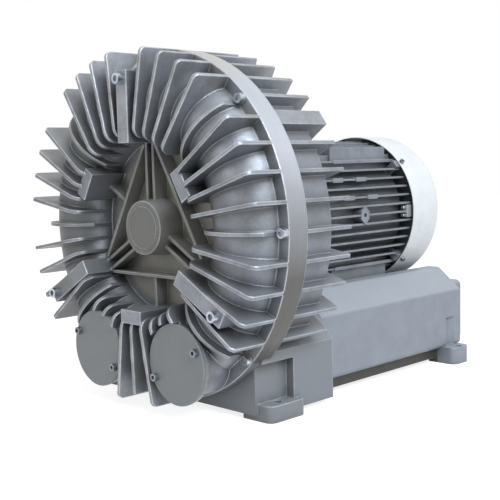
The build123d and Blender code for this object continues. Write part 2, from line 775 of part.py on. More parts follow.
def motor_pads():
    """Flat pads with a ledge at the four corners, a threaded boss and two pairs of lumps."""
    pads = []
    for side in (-1, 1):
        for level in (-1, 1):
            low = level * PAD_LOW
            high = level * PAD_HIGH
            pads.append(block(side * PAD_ROOT, side * PAD_SIDE, PAD_START, PAD_END, low, high))
            ledge_low = level * (PAD_LOW - 1)
            ledge_high = level * (PAD_LOW - 1 + LEDGE_T)
            pads.append(block(side * PAD_ROOT, side * LEDGE_SIDE, PAD_START, LEDGE_END, ledge_low, ledge_high))
    for height, reach, first in LUMP_PAIRS:
        for centre in (first, first + LUMP_SPACING):
            start = centre - LUMP_LENGTH / 2
            end = centre + LUMP_LENGTH / 2
            half = LUMP_HEIGHT / 2
            pads.append(block(FRAME_BORE, reach, start, end, height - half, height + half))
    outline = [(0, BOSS_TALL), (BOSS_WIDE, BOSS_FLAT), (BOSS_WIDE, -BOSS_FLAT)]
    outline += [(0, -BOSS_TALL), (-BOSS_WIDE, -BOSS_FLAT), (-BOSS_WIDE, BOSS_FLAT)]
    face = make_face(Polyline(*[(BOSS_Y + y, z) for y, z in outline], close=True))
    pads.append(Pos(FRAME_BORE, 0, 0) * extrude(Plane.YZ * face, amount=BOSS_SIDE - FRAME_BORE))
    return pads


def motor_frame():
    """Ribbed motor frame with a bolting ring at its drive end."""
    flange_end = SHIELD_END + FRAME_FLANGE_T
    shell = rod(FRAME_R, SHIELD_END, FRAME_END) + rod(BELL_R, SHIELD_END, flange_end)
    half_y = BOX_LENGTH / 2
    half_z = BOX_HEIGHT / 2
    box_seat = block(-BOX_SEAT, 12 - FRAME_R, BOX_Y - half_y, BOX_Y + half_y, -half_z, half_z)
    shell = shell + (motor_fins() + motor_pads() + [box_seat])
    cuts = [rod(FRAME_BORE, SHIELD_END - 1, FRAME_END + 1)]
    cuts.append(rod(FRAME_R + 1, FRAME_END, MOTOR_FIN_END + 1))
    lug_half = COWL_LUG_WIDTH / 2 + 1
    for angle in COWL_LUG_ANGLES:
        lug_room = block(-lug_half, lug_half, FRAME_END, MOTOR_FIN_END + 1, FRAME_R, COWL_R)
        cuts.append(turned(lug_room, angle))
    cuts.append(Pos(BOSS_SIDE, BOSS_Y, 0) * Rot(0, 90, 0) * Cylinder(M8[0], 40))
    for x, z in ring_points(MOTOR_SCREW_R, motor_screw_angles()):
        cuts.append(rod(M10[0] + SCREW_PLAY, SHIELD_END - 1, flange_end + 1, x, z))
        cuts.append(rod(M10[1] + 1.5, flange_end, flange_end + 15, x, z))
    for x, z in ring_points(FRAME_R - 6, COWL_LUG_ANGLES):
        cuts.append(rod(M6[0] + FIT, FRAME_END - 18, FRAME_END + 1, x, z))
    cable_way = Pos(-FRAME_R, BOX_Y, 0) * Rot(0, 90, 0) * Cylinder(16, 60)
    return shell - cuts - cable_way


def motor_flange_screws():
    """Screws through the frame's ring and the shield into the bell."""
    seat = SHIELD_END + FRAME_FLANGE_T
    screws = []
    for x, z in ring_points(MOTOR_SCREW_R, motor_screw_angles()):
        screws.append(Pos(x, seat, z) * Rot(0, 0, 180) * cap_screw(M10, SHIELD_T + FRAME_FLANGE_T + 22))
    return screws


def stator_core():
    return tube(FRAME_BORE - FIT, ROTOR_R + AIR_GAP, STATOR_START, STATOR_END)


def stator_windings():
    """Coil ends in front of and behind the stator core."""
    front = tube(FRAME_BORE - 6, ROTOR_R + 8, STATOR_START - WINDING_LENGTH, STATOR_START)
    rear = tube(FRAME_BORE - 6, ROTOR_R + 8, STATOR_END, STATOR_END + WINDING_LENGTH)
    return [front, rear]


def rotor_core():
    body = rod(ROTOR_R, STATOR_START, STATOR_END)
    for start in (STATOR_START - 12, STATOR_END):
        body += tube(ROTOR_R - 3, ROTOR_R - 20, start, start + 12)
    return body - rod(SHOULDER_R + FIT, STATOR_START - 20, STATOR_END + 20)


def rear_end_shield():
    """Rear cover of the motor with the bearing seat and four lugs for the cowl."""
    disc = rod(FRAME_R, FRAME_END, FRAME_END + 9)
    hub = rod(REAR_BEARING_R + 9, REAR_BEARING_Y - 6, REAR_SHIELD_END)
    shield = disc + hub + tube(FRAME_BORE - FIT, FRAME_BORE - 9, FRAME_END - 8, FRAME_END + 1)
    half = COWL_LUG_WIDTH / 2
    top = sqrt((COWL_R - COWL_T - FIT) ** 2 - half**2)
    for angle in COWL_LUG_ANGLES:
        lug = block(-half, half, FRAME_END + 2, FRAME_END + 32, FRAME_R - 32, top)
        lug -= block(-half - 1, half + 1, FRAME_END + 9, FRAME_END + 33, FRAME_R - 33, FRAME_R + 12)
        shield += turned(lug, angle)
    shield -= rod(REAR_BEARING_R + FIT, REAR_BEARING_Y, REAR_BEARING_Y + REAR_BEARING_W + 4)
    shield -= rod(REAR_BEARING_BORE_R + 8, REAR_BEARING_Y - 7, REAR_SHIELD_END + 1)
    for x, z in ring_points(FRAME_R - 6, COWL_LUG_ANGLES):
        shield -= rod(M6[0] + SCREW_PLAY, FRAME_END - 9, FRAME_END + 10, x, z)
    for angle in COWL_LUG_ANGLES:
        shield -= turned(Pos(0, FRAME_END + 20, COWL_R) * Cylinder(M6[0] + FIT, 28), angle)
    return shield


def end_shield_screws():
    points = ring_points(FRAME_R - 6, COWL_LUG_ANGLES)
    seat = FRAME_END + 9
    return [Pos(x, seat, z) * Rot(0, 0, 180) * cap_screw(M6, 24) for x, z in points]


def rear_circlip():
    """Ring that holds the rear bearing in its seat."""
    start = REAR_BEARING_Y + REAR_BEARING_W
    return tube(REAR_BEARING_R, REAR_BEARING_R - 6, start, start + 2.5)


def cooling_fan():
    """Radial fan: hub, back disc and flat blades."""
    fan = rod(FAN_HUB_R, FAN_Y, FAN_Y + FAN_W) + rod(FAN_R - 30, FAN_Y, FAN_Y + 4)
    blade = block(-1.6, 1.6, FAN_Y, FAN_Y + FAN_W, FAN_HUB_R - 3, FAN_R)
    fan += [turned(blade, i * 360 / FAN_BLADES) for i in range(FAN_BLADES)]
    return fan - rod(FAN_SEAT_R, FAN_Y - 1, FAN_Y + FAN_W + 1)


def fan_circlip():
    start = FAN_Y + FAN_W
    return tube(FAN_SEAT_R + 4, FAN_SEAT_R, start, start + 2)


def fan_cowl():
    """Thin drawn cowl with rounded rear edge and an air grille of ring slots."""
    inner = COWL_R - COWL_T
    corner = COWL_CORNER
    diagonal = corner * (1 - sqrt(0.5))
    small = corner - COWL_T
    small_diagonal = small * (1 - sqrt(0.5))
    rear = COWL_END
    inside = rear - COWL_T
    outline = Polyline((0, rear), (COWL_R - corner, rear))
    outline += ThreePointArc(
        (COWL_R - corner, rear), (COWL_R - diagonal, rear - diagonal), (COWL_R, rear - corner)
    )
    outline += Polyline(
        (COWL_R, rear - corner),
        (COWL_R, COWL_START),
        (inner, COWL_START),
        (inner, rear - corner),
    )
    outline += ThreePointArc(
        (inner, rear - corner),
        (inner - small_diagonal, inside - small_diagonal),
        (COWL_R - corner, inside),
    )
    outline += Polyline((COWL_R - corner, inside), (0, inside), (0, rear))
    cowl = revolve(make_face(outline), axis=Axis.Y)
    slots = []
    for radius in (48, 66, 84, 102, 120):
        slots.append(tube(radius + 11, radius, inside - 1, rear + 1))
    spokes = [turned(block(-5, 5, inside - 2, rear + 2, 0, COWL_R), 45 * i) for i in range(8)]
    for slot in slots:
        cowl -= slot - spokes
    for angle in COWL_LUG_ANGLES:
        cowl -= turned(Pos(0, FRAME_END + 20, COWL_R) * Cylinder(M6[0] + SCREW_PLAY, 28), angle)
    return cowl


def fan_cowl_screws():
    screws = []
    for angle in COWL_LUG_ANGLES:
        screw = Pos(0, FRAME_END + 20, COWL_R) * Rot(-90, 0, 0) * cap_screw(M6, 12)
        screws.append(turned(screw, angle))
    return screws


# Silencers


def silencer_outline(side, inset):
    """Cross-section (x, z) of a silencer, drawn in by the given inset."""
    inner = SILENCER_INNER_X + inset
    outer = SILENCER_SIDE - inset
    points = [
        (inner, SILENCER_BOTTOM + inset),
        (outer, SILENCER_BOTTOM + inset),
        (outer, SHOULDER_Z - inset * 0.4),
        (ROOF_X - inset * 0.4, ROOF_Z - inset),
        (ROOF_INNER_X + inset * 0.2, ROOF_Z - inset),
        (inner, VALLEY_Z - inset),
    ]
    return [(side * x, z) for x, z in points]


def silencer(side):
    """Cast silencer body with rounded long edges, a skirt and a rear foot."""
    body = prism(silencer_outline(side, 0), SILENCER_START, SILENCER_END, corner=9)
    body = fillet(body.faces().sort_by(Axis.Y)[-1].outer_wire().edges(), SILENCER_END_ROUND)
    skirt_in = side * (SILENCER_INNER_X + SKIRT_INSET)
    skirt_out = side * (SILENCER_SIDE - SKIRT_INSET)
    skirt_end = SILENCER_END - SKIRT_INSET
    skirt = block(skirt_in, skirt_out, SILENCER_START, skirt_end, UNDERSIDE + 1, SILENCER_BOTTOM + 1)
    skirt_walls = block(
        skirt_in + side * SILENCER_WALL,
        skirt_out - side * SILENCER_WALL,
        SILENCER_START + SILENCER_WALL,
        skirt_end - SILENCER_WALL,
        UNDERSIDE,
        SILENCER_BOTTOM,
    )
    body += skirt - skirt_walls
    foot_inner = side * (SILENCER_SIDE - 34)
    foot_outer = side * (FOOT_X + 11)
    body += foot_pad(foot_inner, foot_outer, REAR_FOOT_Y - 28, REAR_FOOT_Y + 26, REAR_PAD_HEIGHT)
    body -= foot_hole(side * FOOT_X, REAR_FOOT_Y, REAR_PAD_HEIGHT)
    foot_top = REAR_PAD_HEIGHT - SHAFT_HEIGHT
    pocket_z = foot_top + POCKET_HEIGHT / 2
    body -= Pos(side * FOOT_X, REAR_FOOT_Y, pocket_z) * Cylinder(POCKET_R, POCKET_HEIGHT)
    room = prism(
        silencer_outline(side, SILENCER_WALL),
        SILENCER_START + SILENCER_WALL,
        SILENCER_END - SILENCER_WALL,
        corner=4,
    )
    pocket_room = POCKET_R + SILENCER_WALL
    room -= block(
        side * (FOOT_X - pocket_room),
        side * SILENCER_SIDE,
        REAR_FOOT_Y - pocket_room,
        REAR_FOOT_Y + pocket_room,
        SILENCER_BOTTOM,
        foot_top + POCKET_HEIGHT + SILENCER_WALL,
    )
    body -= room
    body -= rod(DUCT_R + SILENCER_TUBE_T + FIT, SILENCER_START - 1, SILENCER_END + 1, side * PORT_X, PORT_Z)
    for x, z in tie_points(side):
        body -= rod(TIE_R + SCREW_PLAY, SILENCER_START - 1, SILENCER_END + 1, x, z)
    return body


def flat_gasket(side, start):
    """Square gasket round a port, with the four tie-rod holes."""
    half = PORT_FLANGE_SIZE / 2 - 2
    x = side * PORT_X
    gasket = block(x - half, x + half, start, start + GASKET_T, PORT_Z - half, PORT_Z + half)
    gasket -= rod(DUCT_R + 3, start - 1, start + GASKET_T + 1, x, PORT_Z)
    for hole_x, z in tie_points(side):
        gasket -= rod(TIE_R + SCREW_PLAY, start - 1, start + GASKET_T + 1, hole_x, z)
    return gasket


def silencer_tube(side):
    """Perforated gas tube between the pedestal and the port flange."""
    outer = DUCT_R + SILENCER_TUBE_T
    return tube(outer, DUCT_R, PEDESTAL_END, FLANGE_START, side * PORT_X, PORT_Z)


def silencer_liner(side):
    """Absorbing sleeve round the gas tube."""
    inner = DUCT_R + SILENCER_TUBE_T + FIT
    start = SILENCER_START + SILENCER_WALL
    return tube(LINER_R - 4, inner, start, SILENCER_END - SILENCER_WALL, side * PORT_X, PORT_Z)


def port_flange(side):
    """Rear port flange with a pipe-thread bore and four tie-rod holes."""
    half = PORT_FLANGE_SIZE / 2
    x = side * PORT_X
    plate_body = block(x - half, x + half, FLANGE_START, BLOWER_REAR, PORT_Z - half, PORT_Z + half)
    plate_body = fillet(plate_body.edges().filter_by(Axis.Y), 11)
    plate_body -= rod(DUCT_R, FLANGE_START - 1, BLOWER_REAR, x, PORT_Z)
    plate_body -= rod(PORT_THREAD_R, FLANGE_START + 4, BLOWER_REAR + 1, x, PORT_Z)
    for hole_x, z in tie_points(side):
        plate_body -= rod(TIE_R + SCREW_PLAY, FLANGE_START - 1, BLOWER_REAR + 1, hole_x, z)
        plate_body -= rod(M10[1] + 2, BLOWER_REAR - 12, BLOWER_REAR + 1, hole_x, z)
    return plate_body


def tie_rods(side):
    """Long screws that clamp port flange and silencer against the pedestal."""
    seat = BLOWER_REAR - 12
    rods = []
    for x, z in tie_points(side):
        rods.append(Pos(x, seat, z) * Rot(0, 0, 180) * cap_screw(M10, seat - PEDESTAL_END + 24))
    return rods


# Terminal box


def terminal_box():
    """Open box on the motor's left side."""
    outer = -BOX_SEAT
    half_y = BOX_LENGTH / 2
    half_z = BOX_HEIGHT / 2
    box = block(outer - BOX_DEPTH, outer, BOX_Y - half_y, BOX_Y + half_y, -half_z, half_z)
    box = fillet(box.edges().filter_by(Axis.X), 8)
    inner_y = half_y - BOX_WALL
    inner_z = half_z - BOX_WALL
    box -= block(outer - BOX_DEPTH - 1, outer - BOX_WALL, BOX_Y - inner_y, BOX_Y + inner_y, -inner_z, inner_z)
    for y, z in box_corners():
        pillar = Pos(outer - BOX_DEPTH / 2, y, z) * Rot(0, 90, 0) * Cylinder(7, BOX_DEPTH)
        hole = Pos(outer - BOX_DEPTH, y, z) * Rot(0, 90, 0) * Cylinder(M6[0] + FIT, 30)
        box = box + pillar - hole
    box -= Pos(outer, BOX_Y, 0) * Rot(0, 90, 0) * Cylinder(16, 20)
    return box - Pos(gland_x(), BOX_Y, -half_z) * Cylinder(12 + FIT, 14)


def box_corners():
    y = BOX_LENGTH / 2 - 11
    z = BOX_HEIGHT / 2 - 11
    return [(BOX_Y - y, -z), (BOX_Y + y, -z), (BOX_Y + y, z), (BOX_Y - y, z)]


def gland_x():
    return -BOX_SEAT - BOX_DEPTH / 2


def box_plate(x0, x1, corner):
    """Rectangular plate over the terminal box, with four screw holes."""
    half_y = BOX_LENGTH / 2
    half_z = BOX_HEIGHT / 2
    lid = block(x0, x1, BOX_Y - half_y, BOX_Y + half_y, -half_z, half_z)
    lid = fillet(lid.edges().filter_by(Axis.X), corner)
    for y, z in box_corners():
        lid -= Pos(x0, y, z) * Rot(0, 90, 0) * Cylinder(M6[0] + SCREW_PLAY, 60)
    return lid


def terminal_box_gasket():
    start = -BOX_SEAT - BOX_DEPTH
    gasket = box_plate(start - BOX_GASKET_T, start, 8)
    inner_y = BOX_LENGTH / 2 - 18
    inner_z = BOX_HEIGHT / 2 - 18
    return gasket - block(start - 9, start + 9, BOX_Y - inner_y, BOX_Y + inner_y, -inner_z, inner_z)


def terminal_box_lid():
    start = -BOX_SEAT - BOX_DEPTH - BOX_GASKET_T
    lid = box_plate(start - BOX_LID_T, start, 8)
    return chamfer(lid.faces().sort_by(Axis.X)[0].outer_wire().edges(), 3)


def terminal_box_screws():
    start = -BOX_SEAT - BOX_DEPTH - BOX_GASKET_T - BOX_LID_T
    length = BOX_LID_T + BOX_GASKET_T + 14
    return [Pos(start, y, z) * Rot(0, 0, -90) * cap_screw(M6, length) for y, z in box_corners()]


def terminal_block():
    """Six-post terminal board on the box's floor."""
    floor = -BOX_SEAT - BOX_WALL
    board = block(floor - 12, floor, BOX_Y - 38, BOX_Y + 38, 18, 40)
    for i in range(3):
        for z in (23, 35):
            board += Pos(floor - 18, BOX_Y - 24 + 24 * i, z) * Rot(0, 90, 0) * Cylinder(2.5, 14)
    return board


def cable_gland():
    """Hexagonal gland pointing down, closed at its clamping nut."""
    top = -BOX_HEIGHT / 2
    body = Plane.XY.offset(top - 8) * RegularPolygon(15, 6, major_radius=False)
    nut = Plane.XY.offset(top - 24) * RegularPolygon(14, 6, major_radius=False)
    gland = extrude(body, amount=8) + extrude(nut, amount=14)
    gland += Pos(0, 0, top - 9) * Cylinder(12, 6) + Pos(0, 0, top + 3.5) * Cylinder(12, 7)
    gland -= Pos(0, 0, top - 10) * Cylinder(8, 50)
    return Pos(gland_x(), BOX_Y, 0) * gland


def pieces():
    """Every node by name, in the pump frame."""
    front = bearing_rings(FRONT_BEARING_BORE_R, FRONT_BEARING_R, FRONT_BEARING_Y, FRONT_BEARING_W)
    rear = bearing_rings(REAR_BEARING_BORE_R, REAR_BEARING_R, REAR_BEARING_Y, REAR_BEARING_W)
    parts = {
        "front_cover": front_cover(),
        "rear_housing": rear_housing(),
        "casing_seal": casing_seal(),
        "bearing_cap": bearing_cap(),
        "port_cover_screws": port_cover_screws(),
        "flange_screws": flange_screws(),
        "cover_bar_screws": cover_bar_screws(),
        "shaft": shaft(),
        "impeller": impeller(),
        "impeller_key": impeller_key(),
        "impeller_washer": impeller_washer(),
        "impeller_nut": impeller_nut(),
        "front_bearing_outer": front[0],
        "front_bearing_inner": front[1],
        "front_bearing_balls": front[2],
        "rear_bearing_outer": rear[0],
        "rear_bearing_inner": rear[1],
        "rear_bearing_balls": rear[2],
        "rear_bearing_circlip": rear_circlip(),
        "shaft_seal": shaft_seal(),
        "drive_end_shield": drive_end_shield(),
        "motor_frame": motor_frame(),
        "motor_flange_screws": motor_flange_screws(),
        "stator_core": stator_core(),
        "stator_windings": stator_windings(),
        "rotor_core": rotor_core(),
        "rear_end_shield": rear_end_shield(),
        "end_shield_screws": end_shield_screws(),
        "cooling_fan": cooling_fan(),
        "fan_circlip": fan_circlip(),
        "fan_cowl": fan_cowl(),
        "fan_cowl_screws": fan_cowl_screws(),
        "terminal_box": terminal_box(),
        "terminal_box_gasket": terminal_box_gasket(),
        "terminal_box_lid": terminal_box_lid(),
        "terminal_box_screws": terminal_box_screws(),
        "terminal_block": terminal_block(),
        "cable_gland": cable_gland(),
    }
    for name, side in port_sides():
        parts[f"port_cover_{name}"] = port_cover(side)
        parts[f"port_gasket_{name}"] = port_gasket(side)
        parts[f"silencer_{name}"] = silencer(side)
        parts[f"silencer_gasket_{name}"] = flat_gasket(side, PEDESTAL_END)
        parts[f"silencer_tube_{name}"] = silencer_tube(side)
        parts[f"silencer_liner_{name}"] = silencer_liner(side)
        parts[f"port_flange_{name}"] = port_flange(side)
        parts[f"port_flange_gasket_{name}"] = flat_gasket(side, SILENCER_END)
        parts[f"silencer_tie_rods_{name}"] = tie_rods(side)
    return parts


def main():
    os.makedirs("parts", exist_ok=True)
    to_row = Pos(0, -(FRONT_FOOT_Y + REAR_FOOT_Y) / 2, SHAFT_HEIGHT)
    for name, piece in pieces().items():
        solids = piece if isinstance(piece, list) else [piece]
        placed = [to_row * solid for solid in solids]
        node = placed[0] if len(placed) == 1 else Compound(children=placed)
        export_step(node, f"parts/{name}.step")


if __name__ == "__main__":
    main()
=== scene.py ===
"""Finishes, small pieces and studio for the solids of a side channel blower."""

import json
import math
from typing import NamedTuple

import bmesh
import bpy
from bpy.props import FloatProperty, FloatVectorProperty, PointerProperty
from mathutils import Matrix, Vector


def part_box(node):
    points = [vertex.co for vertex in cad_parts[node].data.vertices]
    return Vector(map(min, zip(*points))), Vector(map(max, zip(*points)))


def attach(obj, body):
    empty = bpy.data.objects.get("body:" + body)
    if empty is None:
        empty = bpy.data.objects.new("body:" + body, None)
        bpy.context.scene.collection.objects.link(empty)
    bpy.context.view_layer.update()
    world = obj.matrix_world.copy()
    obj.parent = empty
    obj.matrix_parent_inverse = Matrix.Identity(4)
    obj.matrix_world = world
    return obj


bl_info = {
    "name": "Side channel blower",
    "version": (1, 0, 0),
    "blender": (4, 5, 0),
    "location": "3D View > Sidebar > Blower",
    "description": "Finishes, small pieces and studio of a side channel blower",
    "category": "Object",
}

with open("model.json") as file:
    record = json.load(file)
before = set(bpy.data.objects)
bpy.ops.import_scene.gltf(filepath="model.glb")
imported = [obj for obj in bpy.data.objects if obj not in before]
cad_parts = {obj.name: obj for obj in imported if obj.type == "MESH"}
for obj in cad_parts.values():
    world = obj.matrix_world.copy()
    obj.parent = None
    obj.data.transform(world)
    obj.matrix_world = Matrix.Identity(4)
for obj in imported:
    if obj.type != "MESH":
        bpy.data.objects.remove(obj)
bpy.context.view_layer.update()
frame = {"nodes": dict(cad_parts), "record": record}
NODES = frame["nodes"]

# Places of the solids, in metres. X is to the right of the finned cover, which faces -Y.
SHAFT_Z = frame["record"]["behaviour"]["joints"][0]["pos_m"][2]
CASING_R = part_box("front_cover")[1][0]
CASING_JOINT_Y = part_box("front_cover")[1][1]
MOTOR_END_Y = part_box("motor_frame")[1][1]
COWL_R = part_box("fan_cowl")[1][0]
COWL_END_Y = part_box("fan_cowl")[1][1]
FLANGE_T = 0.021
DISH_FLOOR_Y = CASING_JOINT_Y - 0.0135
SKIRT_LEDGE_Z = 0.031
SKIRT_WALL_X = 0.177

# Flange screws: M10 socket heads on one circle
FLANGE_SCREWS = 8
SCREW_HEAD_R = 0.008
FLANGE_CIRCLE_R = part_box("flange_screws")[1][0] - SCREW_HEAD_R
WASHER_HOLE_R = 0.8 * SCREW_HEAD_R

# Air baffle, between the ends of the motor's fins and the cowl
BAFFLE_T = 0.0015
BAFFLE_LIP = 0.003
BAFFLE_Y = MOTOR_END_Y + 0.0035
BAFFLE_INNER_R = 0.0960
BAFFLE_OUTER_R = COWL_R - 0.008

# Side lugs, at the ends of the motor's two level fins
LUG_OUTER_X = COWL_R - 0.0085
LUG_FRONT_Y = MOTOR_END_Y - 0.0195
LUG_RISE = 0.0005
LUG_EDGE = 0.0014
LUG_SCREW_SPREAD = 0.31

# Where a zone of paint starts and where it is full, in metres
PEDESTAL_Z = (0.150, 0.110)
LEFT_SHADE_X = (-0.08, -0.22)
MIDDLE_TOP_Z = (0.50, 0.36)
MIDDLE_FOOT_Z = (0.10, 0.16)
DISH_R = (0.139, 0.130)
DISH_FLOOR = (DISH_FLOOR_Y - 0.002, DISH_FLOOR_Y - 0.001)
RIM_R = (CASING_R - 0.0020, CASING_R - 0.0012)
RIM_WIDTH = (FLANGE_T + 0.0005, FLANGE_T - 0.0005)
RIM_FOOT_Z = (0.097, 0.103)
LOW_RIM_Z = (0.44, 0.24)
HIGH_RIM_Z = (0.54, 0.59)
SEAM_WIDTH = (0.0030, 0.0045)
SKIRT_Z = (SKIRT_LEDGE_Z + 0.0006, SKIRT_LEDGE_Z - 0.0004)
SKIRT_X = (SKIRT_WALL_X + 0.0010, SKIRT_WALL_X - 0.0005)
COWL_INSIDE_R = (COWL_R - 0.0012, COWL_R - 0.0018)
COWL_INSIDE_Y = (COWL_END_Y - 0.0012, COWL_END_Y - 0.0018)

# Shares and thresholds of the finishes
LEFT_SHADE_SHARE = 0.6
MIDDLE_SHARE = 0.3
DUST_AND_LIGHT_SLOPE = (0.35, 0.75)
EDGE_TURN = (0.985, 0.86)
CORNER_SHADE = (0.85, 0.25)
CAST_EDGE_R = 0.0036
SILENCER_EDGE_R = 0.002
PLAIN_EDGE_R = 0.0015
METAL_GRAIN = 0.0012
MOULDED_GRAIN = 0.0009
MOULDED_DEPTH = 0.00008


def colour(name, description, default):
    return FloatVectorProperty(
        name=name, description=description, default=default, size=3, min=0.0, max=1.0, subtype="COLOR"
    )


def length(name, description, default):
    return FloatProperty(
        name=name, description=description, default=default, unit="LENGTH", subtype="DISTANCE"
    )


def angle(name, description, degrees):
    return FloatProperty(
        name=name, description=description, default=math.radians(degrees), subtype="ANGLE"
    )


class FinishSettings(bpy.types.PropertyGroup):
    """Colours and grain of the blower's surfaces."""

    casting: colour("Casting", "Lacquered aluminium of the finned casing", (0.35, 0.368, 0.41))
    casting_shade: colour("Casting shade", "Darker patches of the casting", (0.245, 0.25, 0.255))
    dish: colour("Dish", "Duller lacquer round the hub", (0.235, 0.232, 0.214))
    dish_floor: colour("Dish floor", "Web behind the ribs", (0.27, 0.265, 0.24))
    rim: colour("Rim", "Turned rim of the flanges", (0.50, 0.515, 0.56))
    # Painted light on the top of the rim, in the warm tone the light from above gives it
    high_rim_painted_light: colour("High rim", "Weathered top of the rim", (0.49, 0.465, 0.435))
    # Painted shade on the lower half of the rim, away from the light above
    low_rim_painted_shade: colour("Low rim", "Oil film on the lower half of the rim", (0.118, 0.115, 0.108))
    # Painted shade on the left side of the casing, away from the light
    left_painted_shade: colour("Left painted shade", "Dull film on the left side of the casing", (0.165, 0.165, 0.15))
    # A darker bluish tone over the band round the middle of the casing
    darkening: colour("Darker band", "Thin dark film round the middle of the casing", (0.125, 0.145, 0.185))
    # Dust, and painted light from above, on faces that look up
    dust_and_top_light: colour("Dust", "Dust on faces that look up", (0.50, 0.525, 0.565))
    silencer: colour("Silencer", "Textured paint of the silencers", (0.27, 0.288, 0.33))
    silencer_shade: colour("Silencer shade", "Darker patches of the silencer paint", (0.25, 0.267, 0.303))
    # Painted shadow under the silencer, on its recessed skirt
    skirt_painted_shadow: colour("Skirt painted shadow", "Bare dark metal of the silencer's skirt", (0.045, 0.042, 0.037))
    pedestal: colour("Pedestal", "Smooth paint on the lower housing", (0.205, 0.215, 0.232))
    cap: colour("Cap", "Dull lacquer of the bearing cap", (0.175, 0.175, 0.165))
    lid: colour("Lid", "Smooth paint of the port lids", (0.225, 0.24, 0.248))
    motor: colour("Motor", "Paint of the ribbed motor frame", (0.25, 0.265, 0.295))
    cowl: colour("Cowl", "Off-white paint of the fan cowl", (0.745, 0.758, 0.762))
    # Painted shade: the baffle's dark tone stands for the shade in the gaps between the fins and the cowl
    baffle: colour("Baffle", "Paint of the air baffle", (0.085, 0.1, 0.105))
    zinc: colour("Zinc", "Plated screws", (0.58, 0.62, 0.68))
    washer_zinc: colour("Washer zinc", "Plated washers", (0.50, 0.50, 0.49))
    # Painted highlight on the edges, partly bare metal where the paint has rubbed off
    bare_edge_and_highlight: colour("Bare edge and highlight", "Metal where the paint has worn off an edge", (0.80, 0.82, 0.86))
    # Painted shade in corners and hollows, partly dust and oil held there
    grime_and_shade: colour("Grime and shade", "Dust and oil held in corners", (0.055, 0.055, 0.046))
    grain: length("Grain", "Distance between two grains of the cast skin", 0.0032)


class StudioSettings(bpy.types.PropertyGroup):
    """Camera and floor."""

    lens: FloatProperty(name="Lens", description="Focal length", default=66.6, unit="CAMERA")
    camera_place: FloatVectorProperty(
        name="Camera",
        description="Camera position",
        default=(1.2363, -1.3435, 0.4252),
        size=3,
        subtype="TRANSLATION",
    )
    azimuth: angle("Azimuth", "Direction of view from +Y", 45.25)
    elevation: angle("Elevation", "Height of the camera's direction", 5.63)
    roll: angle("Roll", "Tilt of the picture", -1.38)
    floor_size: length("Floor", "Side of the square floor", 14.0)


class SmallPartSettings(bpy.types.PropertyGroup):
    """Sizes of the small pieces added to the solids."""

    washer_radius: length("Washer", "Outer radius of a flange screw's washer", 0.0090)
    washer_height: length("Washer height", "Thickness of a washer", 0.0018)
    lug_depth: length("Lug depth", "Reach of a side lug between the fins", 0.0165)
    lug_length: length("Lug length", "Length of a side lug along the motor", 0.0215)
    lug_height: length("Lug height", "Height of a side lug", 0.0250)
    lug_screw_radius: length("Lug screw", "Head radius of a side lug's screws", 0.0042)


# Shader nodes


def feed(tree, socket, value):
    """Link a socket to another node's output, or give it a value."""
    if isinstance(value, bpy.types.NodeSocket):
        tree.links.new(value, socket)
    elif socket.type == "RGBA":
        socket.default_value = (*value, 1.0)
    else:
        socket.default_value = value


def maths(tree, operation, first, second=0.0, clamp=False):
    node = tree.nodes.new("ShaderNodeMath")
    node.operation = operation
    node.use_clamp = clamp
    feed(tree, node.inputs[0], first)
    feed(tree, node.inputs[1], second)
    return node.outputs[0]


def ramp(tree, source, start, full):
    """Remap a value so that start gives 0 and full gives 1."""
    node = tree.nodes.new("ShaderNodeMapRange")
    node.inputs["From Min"].default_value = start
    node.inputs["From Max"].default_value = full
    tree.links.new(source, node.inputs["Value"])
    return node.outputs["Result"]


def mixed(tree, kind, factor, first, second):
    """Blend from first to second. The node has sockets A, B and Result for each kind of data."""
    node = tree.nodes.new("ShaderNodeMix")
    node.data_type = kind
    ends = [socket for socket in node.inputs if socket.name in ("A", "B") and socket.type == kind]
    feed(tree, node.inputs[0], factor)
    feed(tree, ends[0], first)
    feed(tree, ends[1], second)
    return next(socket for socket in node.outputs if socket.type == kind)


def noise(tree, vector, scale, detail, roughness):
    node = tree.nodes.new("ShaderNodeTexNoise")
    node.inputs["Scale"].default_value = scale
    node.inputs["Detail"].default_value = detail
    node.inputs["Roughness"].default_value = roughness
    tree.links.new(vector, node.inputs["Vector"])
    return node.outputs["Fac"]


def surface_normal(tree):
    return tree.nodes.new("ShaderNodeNewGeometry").outputs["Normal"]


def object_point(tree):
    return tree.nodes.new("ShaderNodeTexCoord").outputs["Object"]


def new_group(name, inputs, outputs):
    """An empty shader node group with named sockets."""
    group = bpy.data.node_groups.new(name, "ShaderNodeTree")
    for label, kind, value in inputs:
        socket = group.interface.new_socket(label, in_out="INPUT", socket_type=kind)
        socket.default_value = value
    for label, kind in outputs:
        group.interface.new_socket(label, in_out="OUTPUT", socket_type=kind)
    return group, group.nodes.new("NodeGroupInput"), group.nodes.new("NodeGroupOutput")


def place_group(tree, name, **values):
    """Use a node group in a material. An underscore in a keyword stands for a space in a socket's name."""
    node = tree.nodes.new("ShaderNodeGroup")
    node.node_tree = bpy.data.node_groups[name]
    for key, value in values.items():
        feed(tree, node.inputs[key.replace("_", " ")], value)
    return node


